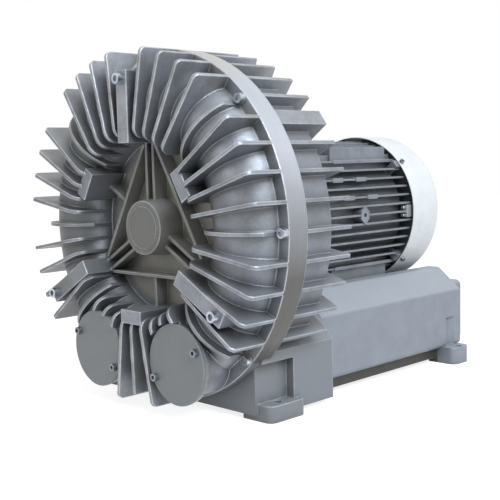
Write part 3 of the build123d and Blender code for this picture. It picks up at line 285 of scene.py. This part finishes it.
def cast_grain_group():
    """Skin of a casting: large patches, fine specks and the height that goes with them."""
    inputs = [("Vector", "NodeSocketVector", (0, 0, 0)), ("Scale", "NodeSocketFloat", 1.0)]
    outputs = [("Patches", "NodeSocketFloat"), ("Specks", "NodeSocketFloat"), ("Height", "NodeSocketFloat")]
    group, entry, result = new_group("cast_grain", inputs, outputs)
    scaled = group.nodes.new("ShaderNodeVectorMath")
    scaled.operation = "SCALE"
    group.links.new(entry.outputs["Vector"], scaled.inputs[0])
    group.links.new(entry.outputs["Scale"], scaled.inputs["Scale"])
    point = scaled.outputs[0]
    patches = ramp(group, noise(group, point, scale=0.07, detail=5.0, roughness=0.68), 0.36, 0.62)
    fine = noise(group, point, scale=1.0, detail=2.0, roughness=0.6)
    dents = noise(group, point, scale=0.22, detail=2.0, roughness=0.55)
    height = maths(group, "ADD", maths(group, "MULTIPLY", fine, 0.6), maths(group, "MULTIPLY", dents, 0.8))
    group.links.new(patches, result.inputs["Patches"])
    group.links.new(ramp(group, fine, 0.56, 0.72), result.inputs["Specks"])
    group.links.new(height, result.inputs["Height"])


def rounded_edge_group():
    """Rounded edges: a mask of the sharp outer edges and the softened normal."""
    inputs = [("Radius", "NodeSocketFloat", PLAIN_EDGE_R), ("Break up", "NodeSocketFloat", 0.5)]
    outputs = [("Edge", "NodeSocketFloat"), ("Normal", "NodeSocketVector")]
    group, entry, result = new_group("rounded_edge", inputs, outputs)
    bevel = group.nodes.new("ShaderNodeBevel")
    bevel.samples = 6
    group.links.new(entry.outputs["Radius"], bevel.inputs["Radius"])
    flat = group.nodes.new("ShaderNodeNewGeometry").outputs["True Normal"]
    turn = group.nodes.new("ShaderNodeVectorMath")
    turn.operation = "DOT_PRODUCT"
    group.links.new(bevel.outputs["Normal"], turn.inputs[0])
    group.links.new(flat, turn.inputs[1])
    edge = ramp(group, turn.outputs["Value"], *EDGE_TURN)
    broken = maths(group, "ADD", maths(group, "MULTIPLY", entry.outputs["Break up"], 0.6), 0.4)
    group.links.new(maths(group, "MULTIPLY", edge, broken, clamp=True), result.inputs["Edge"])
    group.links.new(bevel.outputs["Normal"], result.inputs["Normal"])


def corner_dirt_and_shade_group():
    """Painted shade where surfaces meet, partly dirt that gathers there, broken up by noise."""
    inputs = [("Reach", "NodeSocketFloat", 0.024), ("Noise", "NodeSocketFloat", 0.5)]
    group, entry, result = new_group("corner_dirt_and_shade", inputs, [("Dirt and shade", "NodeSocketFloat")])
    shade = group.nodes.new("ShaderNodeAmbientOcclusion")
    shade.samples = 4
    group.links.new(entry.outputs["Reach"], shade.inputs["Distance"])
    dirt_and_shade = ramp(group, shade.outputs["AO"], *CORNER_SHADE)
    broken = maths(group, "ADD", entry.outputs["Noise"], 0.45)
    group.links.new(maths(group, "MULTIPLY", dirt_and_shade, broken, clamp=True), result.inputs["Dirt and shade"])


# Zones of paint: each gives 1 where its colour is full and 0 elsewhere


class Place:
    """A shaded point's coordinates, its distance from the shaft and from the casing's joint."""

    def __init__(self, tree, point):
        split = tree.nodes.new("ShaderNodeSeparateXYZ")
        tree.links.new(point, split.inputs[0])
        self.tree = tree
        self.x, self.y, self.z = split.outputs
        self.side = maths(tree, "ABSOLUTE", self.x)
        self.from_joint = maths(tree, "ABSOLUTE", maths(tree, "SUBTRACT", self.y, CASING_JOINT_Y))
        rise = maths(tree, "SUBTRACT", self.z, SHAFT_Z)
        squares = maths(tree, "ADD", self.both(rise, rise), self.both(self.x, self.x))
        self.radius = maths(tree, "SQRT", squares)

    def zone(self, source, limits):
        start, full = limits
        return ramp(self.tree, source, start, full)

    def both(self, first, second):
        return maths(self.tree, "MULTIPLY", first, second)


def pedestal_zone(place):
    """Lower part of the rear housing, below the casing."""
    return place.zone(place.z, PEDESTAL_Z)


def left_shade_zone(place):
    """Part of the casing left of the shaft, away from the light: painted shade."""
    return place.both(place.zone(place.x, LEFT_SHADE_X), LEFT_SHADE_SHARE)


def middle_zone(place):
    """Band of the casing from above the shaft to above the ports."""
    band = place.both(place.zone(place.z, MIDDLE_TOP_Z), place.zone(place.z, MIDDLE_FOOT_Z))
    return place.both(band, MIDDLE_SHARE)


def dish_zone(place):
    """Hub, ribs and floor inside the ring of fins."""
    return place.zone(place.radius, DISH_R)


def dish_floor_zone(place):
    """Floor behind the ribs."""
    return place.both(dish_zone(place), place.zone(place.y, DISH_FLOOR))


def rim_zone(place):
    """Turned rim of the two flanges."""
    outer = place.both(place.zone(place.radius, RIM_R), place.zone(place.z, RIM_FOOT_Z))
    return place.both(outer, place.zone(place.from_joint, RIM_WIDTH))


def low_rim_shade_zone(place):
    """Lower half of the rim, in a dark tone: painted shade."""
    return place.both(rim_zone(place), place.zone(place.z, LOW_RIM_Z))


def high_rim_light_zone(place):
    """Top of the rim, in a warmer tone: painted light from above."""
    return place.both(rim_zone(place), place.zone(place.z, HIGH_RIM_Z))


def skirt_shadow_zone(place):
    """Recessed skirt under a silencer, painted dark: painted shadow under the silencer."""
    return place.both(place.zone(place.z, SKIRT_Z), place.zone(place.side, SKIRT_X))


def cowl_inner_shade_zone(place):
    """Inner side of the cowl, painted dark: painted shade, and dust where the fan blows."""
    return place.both(place.zone(place.radius, COWL_INSIDE_R), place.zone(place.y, COWL_INSIDE_Y))


# Materials


def new_material(name):
    material = bpy.data.materials.new(name)
    material.use_nodes = True
    tree = material.node_tree
    return material, tree, tree.nodes["Principled BSDF"]


def add_bump(tree, shader, height, distance, strength=1.0, normal=None):
    """Raise the skin's grain, over the given normal if there is one."""
    bump = tree.nodes.new("ShaderNodeBump")
    bump.inputs["Strength"].default_value = strength
    bump.inputs["Distance"].default_value = distance
    tree.links.new(height, bump.inputs["Height"])
    if normal:
        tree.links.new(normal, bump.inputs["Normal"])
    tree.links.new(bump.outputs["Normal"], shader.inputs["Normal"])


def dust_and_light_on_top(tree, tone, dust_and_top_light):
    """Lighten the faces that look up: dust, and painted light from above."""
    slope = tree.nodes.new("ShaderNodeSeparateXYZ")
    tree.links.new(surface_normal(tree), slope.inputs[0])
    dust_and_light_share = maths(tree, "MULTIPLY", ramp(tree, slope.outputs["Z"], *DUST_AND_LIGHT_SLOPE), dust_and_top_light)
    return mixed(tree, "RGBA", dust_and_light_share, tone, bpy.context.scene.blower_finish.dust_and_top_light)


def sharp_at_seam(spot, wear_and_highlight, normal):
    """Leave out the painted highlights, partly rubbed paint, and the rounded edges along the casing's joint,
    where two flanges only touch.
    """
    away = spot.zone(spot.from_joint, SEAM_WIDTH)
    return spot.both(wear_and_highlight, away), mixed(spot.tree, "VECTOR", away, surface_normal(spot.tree), normal)


def painted(
    name, base, shade, *, roughness, metallic, depth, edge, dirt_and_shade, grain=1.0, coat=0.0, dust_and_top_light=0.0,
    edge_radius=PLAIN_EDGE_R, zones=(), seam=False, speckle_and_glint=0.0, smooth_zone=None,
):
    """Paint or lacquer over cast or drawn metal, with painted highlights on the edges, partly paint rubbed
    off, and painted shade in the corners, partly dirt.

    The grain is a share of the cast skin's, and the smooth zone has no metal in its lacquer.
    """
    finish = bpy.context.scene.blower_finish
    material, tree, shader = new_material(name)
    point = object_point(tree)
    spot = Place(tree, point)
    skin = place_group(tree, "cast_grain", Vector=point, Scale=1.0 / (finish.grain * grain))
    patches = skin.outputs["Patches"]
    edges = place_group(tree, "rounded_edge", Radius=edge_radius, Break_up=patches)
    corners = place_group(tree, "corner_dirt_and_shade", Noise=patches)

    tone = mixed(tree, "RGBA", patches, shade, base)
    # Bright specks: painted glints on the cast skin, partly its grain
    tone = mixed(tree, "RGBA", spot.both(skin.outputs["Specks"], speckle_and_glint), tone, finish.bare_edge_and_highlight)
    for zone, zone_tone in zones:
        tone = mixed(tree, "RGBA", zone(spot), tone, zone_tone)
    # Faces that look up lighter: dust, and painted light from above
    if dust_and_top_light:
        tone = dust_and_light_on_top(tree, tone, dust_and_top_light)
    # Edges lighter: painted highlight, partly paint rubbed off to bare metal
    wear_and_highlight = spot.both(edges.outputs["Edge"], edge)
    normal = edges.outputs["Normal"]
    if seam:
        wear_and_highlight, normal = sharp_at_seam(spot, wear_and_highlight, normal)
    tone = mixed(tree, "RGBA", wear_and_highlight, tone, finish.bare_edge_and_highlight)
    # Darker in the corners: painted shade, partly dirt
    tone = mixed(tree, "RGBA", spot.both(corners.outputs["Dirt and shade"], dirt_and_shade), tone, finish.grime_and_shade)
    tree.links.new(tone, shader.inputs["Base Color"])

    rough = maths(tree, "ADD", spot.both(patches, -0.12), roughness + 0.06)
    tree.links.new(rough, shader.inputs["Roughness"])
    shader.inputs["Metallic"].default_value = metallic
    if smooth_zone:
        bare = maths(tree, "SUBTRACT", 1.0, smooth_zone(spot))
        tree.links.new(spot.both(bare, metallic), shader.inputs["Metallic"])
    shader.inputs["Coat Weight"].default_value = coat
    add_bump(tree, shader, skin.outputs["Height"], depth, strength=0.6, normal=normal)
    return material


def metal(name, base, roughness, grain=METAL_GRAIN):
    """Bare or plated metal with fine scratches."""
    material, tree, shader = new_material(name)
    skin = place_group(tree, "cast_grain", Vector=object_point(tree), Scale=1.0 / grain)
    dark = [0.72 * channel for channel in base]
    tree.links.new(mixed(tree, "RGBA", skin.outputs["Patches"], dark, base), shader.inputs["Base Color"])
    rough = maths(tree, "ADD", maths(tree, "MULTIPLY", skin.outputs["Specks"], 0.15), roughness)
    tree.links.new(rough, shader.inputs["Roughness"])
    shader.inputs["Metallic"].default_value = 1.0
    return material


def moulded(name, base, roughness, grain=MOULDED_GRAIN, depth=MOULDED_DEPTH):
    """Rubber, foam, fibre, enamel or moulded plastic."""
    material, tree, shader = new_material(name)
    skin = place_group(tree, "cast_grain", Vector=object_point(tree), Scale=1.0 / grain)
    light = [min(1.0, 1.3 * channel + 0.01) for channel in base]
    tree.links.new(mixed(tree, "RGBA", skin.outputs["Patches"], base, light), shader.inputs["Base Color"])
    shader.inputs["Roughness"].default_value = roughness
    add_bump(tree, shader, skin.outputs["Height"], depth)
    return material


def dress(material, *names):
    """Give CAD nodes their finish."""
    for name in names:
        mesh = NODES[name].data
        mesh.materials.clear()
        mesh.materials.append(material)


def both_sides(*stems):
    return [f"{stem}_{side}" for stem in stems for side in ("left", "right")]


class Metal(NamedTuple):
    """A metal finish and the nodes that have it."""

    name: str
    tone: tuple
    roughness: float
    nodes: list
    grain: float = METAL_GRAIN


class Moulding(NamedTuple):
    """A moulded or woven finish and the nodes that have it."""

    name: str
    tone: tuple
    roughness: float
    nodes: list
    grain: float = MOULDED_GRAIN
    depth: float = MOULDED_DEPTH


METALS = (
    Metal("dull_zinc", (0.30, 0.325, 0.36), 0.42, ["port_cover_screws", "fan_cowl_screws"]),
    Metal(
        "turned_steel", (0.52, 0.52, 0.53), 0.28,
        ["shaft", "impeller_key", "impeller_washer", "impeller_nut", "rear_bearing_circlip", "fan_circlip"],
    ),
    Metal(
        "ground_steel", (0.66, 0.66, 0.67), 0.18,
        ["front_bearing_outer", "front_bearing_inner", "rear_bearing_outer", "rear_bearing_inner"],
    ),
    Metal("cage_steel", (0.55, 0.53, 0.47), 0.35, ["front_bearing_balls", "rear_bearing_balls"]),
    Metal("impeller_alloy", (0.62, 0.63, 0.64), 0.42, ["impeller"], grain=0.003),
    Metal("perforated_sheet", (0.5, 0.5, 0.5), 0.4, both_sides("silencer_tube")),
    Metal("lamination", (0.2, 0.2, 0.22), 0.5, ["stator_core", "rotor_core"]),
)

MOULDINGS = (
    Moulding("black_rubber", (0.02, 0.02, 0.02), 0.6, ["casing_seal", "shaft_seal", "terminal_box_gasket"]),
    Moulding(
        "gasket_fibre", (0.07, 0.075, 0.065), 0.8,
        both_sides("port_gasket", "silencer_gasket", "port_flange_gasket"),
    ),
    Moulding(
        "absorbing_foam", (0.05, 0.05, 0.05), 0.95, both_sides("silencer_liner"), grain=0.004, depth=0.001,
    ),
    Moulding("copper_winding", (0.32, 0.12, 0.035), 0.35, ["stator_windings"]),
    Moulding("terminal_board", (0.25, 0.10, 0.04), 0.5, ["terminal_block"]),
    Moulding("gland_nylon", (0.05, 0.052, 0.055), 0.5, ["cable_gland"]),
    Moulding("fan_plastic", (0.025, 0.025, 0.025), 0.45, ["cooling_fan"]),
)


# Operators for the finishes


class BLOWER_OT_shader_groups(bpy.types.Operator):
    """Build the node groups that the finishes share"""

    bl_idname = "blower.shader_groups"
    bl_label = "Shader groups"

    def execute(self, context):
        cast_grain_group()
        rounded_edge_group()
        corner_dirt_and_shade_group()
        return {"FINISHED"}


class BLOWER_OT_casing_finish(bpy.types.Operator):
    """Lacquered casting on the finned casing and its hub cap"""

    bl_idname = "blower.casing_finish"
    bl_label = "Casing finish"

    def execute(self, context):
        finish = context.scene.blower_finish
        # Painted shade on the left side, and a darker bluish band round the middle
        left_shade_and_middle_band = [(left_shade_zone, finish.left_painted_shade), (middle_zone, finish.darkening)]
        dish = [(dish_zone, finish.dish), (dish_floor_zone, finish.dish_floor)]
        pedestal = [(pedestal_zone, finish.pedestal)]
        # The lower rim takes painted shade and the top of the rim painted light
        rims = [(rim_zone, finish.rim), (low_rim_shade_zone, finish.low_rim_painted_shade), (high_rim_light_zone, finish.high_rim_painted_light)]
        cover = painted(
            "cast_lacquer", finish.casting, finish.casting_shade,
            roughness=0.44, metallic=0.62, depth=0.0010, edge=0.85, dirt_and_shade=0.8, edge_radius=CAST_EDGE_R,
            zones=[*left_shade_and_middle_band, *dish, *rims], seam=True, speckle_and_glint=0.10, smooth_zone=dish_zone, dust_and_top_light=0.3,
        )
        dress(cover, "front_cover")
        housing = painted(
            "housing_lacquer", [0.9 * channel for channel in finish.casting], finish.casting_shade,
            roughness=0.42, metallic=0.5, depth=0.0008, edge=0.7, dirt_and_shade=0.7, edge_radius=CAST_EDGE_R,
            zones=[*left_shade_and_middle_band, *pedestal, *rims], seam=True, speckle_and_glint=0.08, smooth_zone=pedestal_zone, dust_and_top_light=0.12,
        )
        dress(housing, "rear_housing")
        cap = painted(
            "cap_lacquer", finish.cap, finish.cap,
            roughness=0.45, metallic=0.3, depth=0.0004, edge=0.5, dirt_and_shade=0.5,
        )
        dress(cap, "bearing_cap")
        return {"FINISHED"}


class BLOWER_OT_silencer_finish(bpy.types.Operator):
    """Textured paint on the silencers and port flanges, and smooth paint on the port lids"""

    bl_idname = "blower.silencer_finish"
    bl_label = "Silencer finish"

    def execute(self, context):
        finish = context.scene.blower_finish
        textured = painted(
            "silencer_paint", finish.silencer, finish.silencer_shade,
            roughness=0.5, metallic=0.15, depth=0.0003, edge=0.35, dirt_and_shade=0.4, grain=0.8,
            # Painted shadow on the skirt under the silencer
            edge_radius=SILENCER_EDGE_R, zones=[(skirt_shadow_zone, finish.skirt_painted_shadow)], dust_and_top_light=0.35,
        )
        dress(textured, *both_sides("silencer", "port_flange"))
        smooth = painted(
            "lid_paint", finish.lid, finish.lid,
            roughness=0.5, metallic=0.1, depth=0.0001, edge=0.5, dirt_and_shade=0.2,
        )
        dress(smooth, *both_sides("port_cover"))
        return {"FINISHED"}


class BLOWER_OT_motor_finish(bpy.types.Operator):
    """Paint on the motor, its end shields, terminal box and fan cowl"""

    bl_idname = "blower.motor_finish"
    bl_label = "Motor finish"

    def execute(self, context):
        finish = context.scene.blower_finish
        paint = painted(
            "motor_paint", finish.motor, [0.75 * channel for channel in finish.motor],
            roughness=0.42, metallic=0.2, depth=0.0003, edge=0.35, dirt_and_shade=0.4,
        )
        dress(paint, "motor_frame", "drive_end_shield", "rear_end_shield", "terminal_box", "terminal_box_lid")
        white = painted(
            "cowl_paint", finish.cowl, [0.92 * channel for channel in finish.cowl],
            roughness=0.4, metallic=0.0, depth=0.00008, edge=0.0, dirt_and_shade=0.25, coat=0.2,
            # Inside the cowl: painted shade, partly dust
            zones=[(cowl_inner_shade_zone, finish.grime_and_shade)],
        )
        dress(white, "fan_cowl")
        return {"FINISHED"}


class BLOWER_OT_metal_finish(bpy.types.Operator):
    """Screws, shaft line, bearings and other bare metal"""

    bl_idname = "blower.metal_finish"
    bl_label = "Metal finish"

    def execute(self, context):
        bright = metal("zinc_plate", context.scene.blower_finish.zinc, 0.3)
        screws = [name for name in NODES if name.endswith("_screws")]
        dress(bright, *screws, *both_sides("silencer_tie_rods"))
        # Two sets of screws then get a duller zinc in place of the bright one
        for item in METALS:
            dress(metal(item.name, item.tone, item.roughness, item.grain), *item.nodes)
        return {"FINISHED"}


class BLOWER_OT_moulded_finish(bpy.types.Operator):
    """Seals, gaskets, foam, windings and plastics"""

    bl_idname = "blower.moulded_finish"
    bl_label = "Moulded finish"

    def execute(self, context):
        for item in MOULDINGS:
            dress(moulded(item.name, item.tone, item.roughness, item.grain, item.depth), *item.nodes)
        return {"FINISHED"}


# Small pieces


def finished(name, shape, material):
    """Turn a bmesh into a piece that rides on the housing and takes its finish from a material slot."""
    bmesh.ops.remove_doubles(shape, verts=shape.verts, dist=1e-7)
    bmesh.ops.recalc_face_normals(shape, faces=shape.faces)
    mesh = bpy.data.meshes.new(name)
    shape.to_mesh(mesh)
    shape.free()
    mesh.materials.append(material)
    piece = bpy.data.objects.new(name, mesh)
    bpy.context.scene.collection.objects.link(piece)
    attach(piece, "housing")


def spun_ring(shape, outline, centre, steps=32):
    """Turn an outline of (radius, y) points about an axis along Y through the centre.

    Tags mark the vertices of earlier rings, so that only the new ones move to the centre.
    """
    corners = [shape.verts.new((radius, y, 0.0)) for radius, y in outline]
    edges = [shape.edges.new(ends) for ends in zip(corners, corners[1:] + corners[:1])]
    bmesh.ops.spin(
        shape, geom=corners + edges, cent=(0, 0, 0), axis=(0, 1, 0), angle=math.tau, steps=steps,
        use_merge=True,
    )
    new = [vert for vert in shape.verts if not vert.tag]
    bmesh.ops.translate(shape, verts=new, vec=centre)
    for vert in new:
        vert.tag = True


def socket_head(radius, bore=0.0005):
    """Outline of a socket screw's head that stands towards -Y, open at a fine bore on its axis."""
    height = 1.15 * radius
    socket_radius = 0.52 * radius
    return [
        (bore, 0.0),
        (radius, 0.0),
        (radius, 0.20 * radius - height),
        (0.82 * radius, -height),
        (socket_radius, -height),
        (socket_radius, -0.5 * radius),
        (bore, -0.4 * radius),
    ]


class BLOWER_OT_washers(bpy.types.Operator):
    """Plain washers under the heads of the flange screws"""

    bl_idname = "blower.washers"
    bl_label = "Washers"

    def execute(self, context):
        sizes = context.scene.blower_small
        outer = sizes.washer_radius
        high = sizes.washer_height
        soft = 0.3 * high
        outline = [
            (WASHER_HOLE_R, 0.0),
            (outer, 0.0),
            (outer, soft - high),
            (outer - soft, -high),
            (WASHER_HOLE_R, -high),
        ]
        shape = bmesh.new()
        for index in range(FLANGE_SCREWS):
            turn = index * math.tau / FLANGE_SCREWS
            x = FLANGE_CIRCLE_R * math.sin(turn)
            z = FLANGE_CIRCLE_R * math.cos(turn)
            spun_ring(shape, outline, (x, CASING_JOINT_Y - FLANGE_T, SHAFT_Z + z))
        zinc = metal("washer_zinc", context.scene.blower_finish.washer_zinc, 0.38)
        finished("flange_washers", shape, zinc)
        return {"FINISHED"}


class BLOWER_OT_air_baffle(bpy.types.Operator):
    """Sheet ring with a lip on the rear shield's lugs, which leads the fan's air to the fins; its dark tone
    is painted shade.
    """

    bl_idname = "blower.air_baffle"
    bl_label = "Air baffle"

    def execute(self, context):
        back = BAFFLE_Y + BAFFLE_T
        rim = BAFFLE_OUTER_R - BAFFLE_T
        soft = 0.3 * BAFFLE_T
        outline = [
            (BAFFLE_INNER_R, BAFFLE_Y),
            (rim, BAFFLE_Y),
            (BAFFLE_OUTER_R - soft, BAFFLE_Y + soft),
            (BAFFLE_OUTER_R, back),
            (BAFFLE_OUTER_R, back + BAFFLE_LIP),
            (rim, back + BAFFLE_LIP),
            (rim - soft, back),
            (BAFFLE_INNER_R, back),
        ]
        shape = bmesh.new()
        spun_ring(shape, outline, (0.0, 0.0, SHAFT_Z), steps=96)
        # Dark tone: painted shade seen in the gaps past the fins
        grey = moulded("baffle_grey", context.scene.blower_finish.baffle, 0.6)
        finished("air_baffle", shape, grey)
        return {"FINISHED"}


class BLOWER_OT_side_lugs(bpy.types.Operator):
    """Lug with two screws at the end of each side's middle fin, under the cowl's edge"""

    bl_idname = "blower.side_lugs"
    bl_label = "Side lugs"

    def execute(self, context):
        sizes = context.scene.blower_small
        size = (sizes.lug_depth, sizes.lug_length, sizes.lug_height)
        middle_y = LUG_FRONT_Y + sizes.lug_length / 2
        head = socket_head(sizes.lug_screw_radius)
        lugs = bmesh.new()
        screws = bmesh.new()
        screw_rise = LUG_SCREW_SPREAD * sizes.lug_height
        for side in (-1, 1):
            x = side * (LUG_OUTER_X - sizes.lug_depth / 2)
            block = bmesh.ops.create_cube(lugs, size=1.0)["verts"]
            bmesh.ops.scale(lugs, verts=block, vec=size)
            bmesh.ops.translate(lugs, verts=block, vec=(x, middle_y, SHAFT_Z + LUG_RISE))
            for up in (-1, 1):
                spun_ring(screws, head, (x, LUG_FRONT_Y, SHAFT_Z + up * screw_rise))
        bmesh.ops.bevel(
            lugs, geom=lugs.edges[:], offset=LUG_EDGE, offset_type="OFFSET", segments=3, profile=0.5,
            affect="EDGES", material=-1,
        )
        finished("side_lugs", lugs, bpy.data.materials["motor_paint"])
        finished("side_lug_screws", screws, bpy.data.materials["zinc_plate"])
        return {"FINISHED"}


# Studio


class Lamp(NamedTuple):
    """A round area lamp and the point it aims at."""

    name: str
    place: tuple
    aim: tuple
    size: float
    power: float
    tint: tuple


LAMPS = (
    Lamp("window_right", (2.6, -0.8, 2.4), (0.1, -0.1, 0.25), 2.4, 120.0, (0.84, 0.92, 1.0)),
    Lamp("room_front", (-0.3, -3.0, 1.3), (0.0, -0.3, 0.3), 1.2, 9.0, (1.0, 0.96, 0.90)),
)
SKY_TINT = (1.0, 0.985, 0.95)
SKY_STRENGTH = 0.48
FLOOR_TONE = 0.5
FLOOR_FILL = 0.82
WHITE = (1.0, 1.0, 1.0)


def seen_as_backdrop(tree):
    """1 for the rays that show the white backdrop: camera, glossy and transmission."""
    path = tree.nodes.new("ShaderNodeLightPath")
    seen = maths(tree, "MAXIMUM", path.outputs["Is Camera Ray"], path.outputs["Is Glossy Ray"])
    return maths(tree, "MAXIMUM", seen, path.outputs["Is Transmission Ray"])


def floor_material():
    """A plain floor that takes shadows, filled up to white where it is seen."""
    material, tree, shader = new_material("pale_floor")
    feed(tree, shader.inputs["Base Color"], (FLOOR_TONE, FLOOR_TONE, FLOOR_TONE))
    feed(tree, shader.inputs["Roughness"], 0.9)
    feed(tree, shader.inputs["Specular IOR Level"], 0.0)
    feed(tree, shader.inputs["Emission Color"], WHITE)
    fill = maths(tree, "MULTIPLY", seen_as_backdrop(tree), FLOOR_FILL)
    feed(tree, shader.inputs["Emission Strength"], fill)
    return material


def build_floor(scene, size):
    shape = bmesh.new()
    bmesh.ops.create_grid(shape, x_segments=8, y_segments=8, size=size / 2)
    mesh = bpy.data.meshes.new("floor")
    shape.to_mesh(mesh)
    shape.free()
    mesh.materials.append(floor_material())
    floor = bpy.data.objects.new("floor", mesh)
    scene.collection.objects.link(floor)


def build_sky(scene):
    """Soft light from all round, with a white backdrop where it is seen."""
    scene.world = bpy.data.worlds.new("studio_sky")
    scene.world.use_nodes = True
    tree = scene.world.node_tree
    light = tree.nodes["Background"]
    feed(tree, light.inputs["Color"], SKY_TINT)
    feed(tree, light.inputs["Strength"], SKY_STRENGTH)
    backdrop = tree.nodes.new("ShaderNodeBackground")
    feed(tree, backdrop.inputs["Color"], WHITE)
    feed(tree, backdrop.inputs["Strength"], 1.0)
    sky = tree.nodes.new("ShaderNodeMixShader")
    feed(tree, sky.inputs[0], seen_as_backdrop(tree))
    feed(tree, sky.inputs[1], light.outputs[0])
    feed(tree, sky.inputs[2], backdrop.outputs[0])
    feed(tree, tree.nodes["World Output"].inputs["Surface"], sky.outputs[0])


def build_lamp(scene, lamp):
    data = bpy.data.lights.new(lamp.name, "AREA")
    data.shape = "DISK"
    data.size = lamp.size
    data.energy = lamp.power
    data.color = lamp.tint
    light = bpy.data.objects.new(lamp.name, data)
    light.rotation_euler = (Vector(lamp.aim) - Vector(lamp.place)).to_track_quat("-Z", "Y").to_euler()
    light.location = lamp.place
    scene.collection.objects.link(light)


def build_camera(scene, studio):
    data = bpy.data.cameras.new("camera")
    data.lens = studio.lens
    data.sensor_width = 36.0
    data.clip_start = 0.01
    turn = Matrix.Rotation(studio.azimuth, 4, "Z")
    tilt = Matrix.Rotation(math.pi / 2 - studio.elevation, 4, "X")
    roll = Matrix.Rotation(studio.roll, 4, "Z")
    camera = bpy.data.objects.new("camera", data)
    camera.matrix_world = Matrix.Translation(studio.camera_place) @ turn @ tilt @ roll
    scene.collection.objects.link(camera)
    scene.camera = camera


class BLOWER_OT_studio(bpy.types.Operator):
    """Floor, world, lamps and camera"""

    bl_idname = "blower.studio"
    bl_label = "Studio"

    def execute(self, context):
        scene = context.scene
        build_floor(scene, scene.blower_studio.floor_size)
        build_sky(scene)
        for lamp in LAMPS:
            build_lamp(scene, lamp)
        build_camera(scene, scene.blower_studio)
        scene.view_settings.view_transform = "Standard"
        return {"FINISHED"}


OPERATORS = (
    BLOWER_OT_shader_groups,
    BLOWER_OT_casing_finish,
    BLOWER_OT_silencer_finish,
    BLOWER_OT_motor_finish,
    BLOWER_OT_metal_finish,
    BLOWER_OT_moulded_finish,
    BLOWER_OT_washers,
    BLOWER_OT_air_baffle,
    BLOWER_OT_side_lugs,
    BLOWER_OT_studio,
)


class BLOWER_PT_panel(bpy.types.Panel):
    """Lists the blower's build steps"""

    bl_label = "Side channel blower"
    bl_idname = "BLOWER_PT_panel"
    bl_space_type = "VIEW_3D"
    bl_region_type = "UI"
    bl_category = "Blower"

    def draw(self, context):
        for operator in OPERATORS:
            self.layout.operator(operator.bl_idname)


SETTINGS = (FinishSettings, SmallPartSettings, StudioSettings)


def register():
    for item in (*SETTINGS, *OPERATORS, BLOWER_PT_panel):
        bpy.utils.register_class(item)
    bpy.types.Scene.blower_finish = PointerProperty(type=FinishSettings)
    bpy.types.Scene.blower_small = PointerProperty(type=SmallPartSettings)
    bpy.types.Scene.blower_studio = PointerProperty(type=StudioSettings)


def unregister():
    del bpy.types.Scene.blower_studio
    del bpy.types.Scene.blower_small
    del bpy.types.Scene.blower_finish
    for item in (BLOWER_PT_panel, *reversed(OPERATORS), *reversed(SETTINGS)):
        bpy.utils.unregister_class(item)


def main():
    register()
    for operator in OPERATORS:
        group, name = operator.bl_idname.split(".")
        getattr(getattr(bpy.ops, group), name)()


if __name__ == "__main__":
    main()
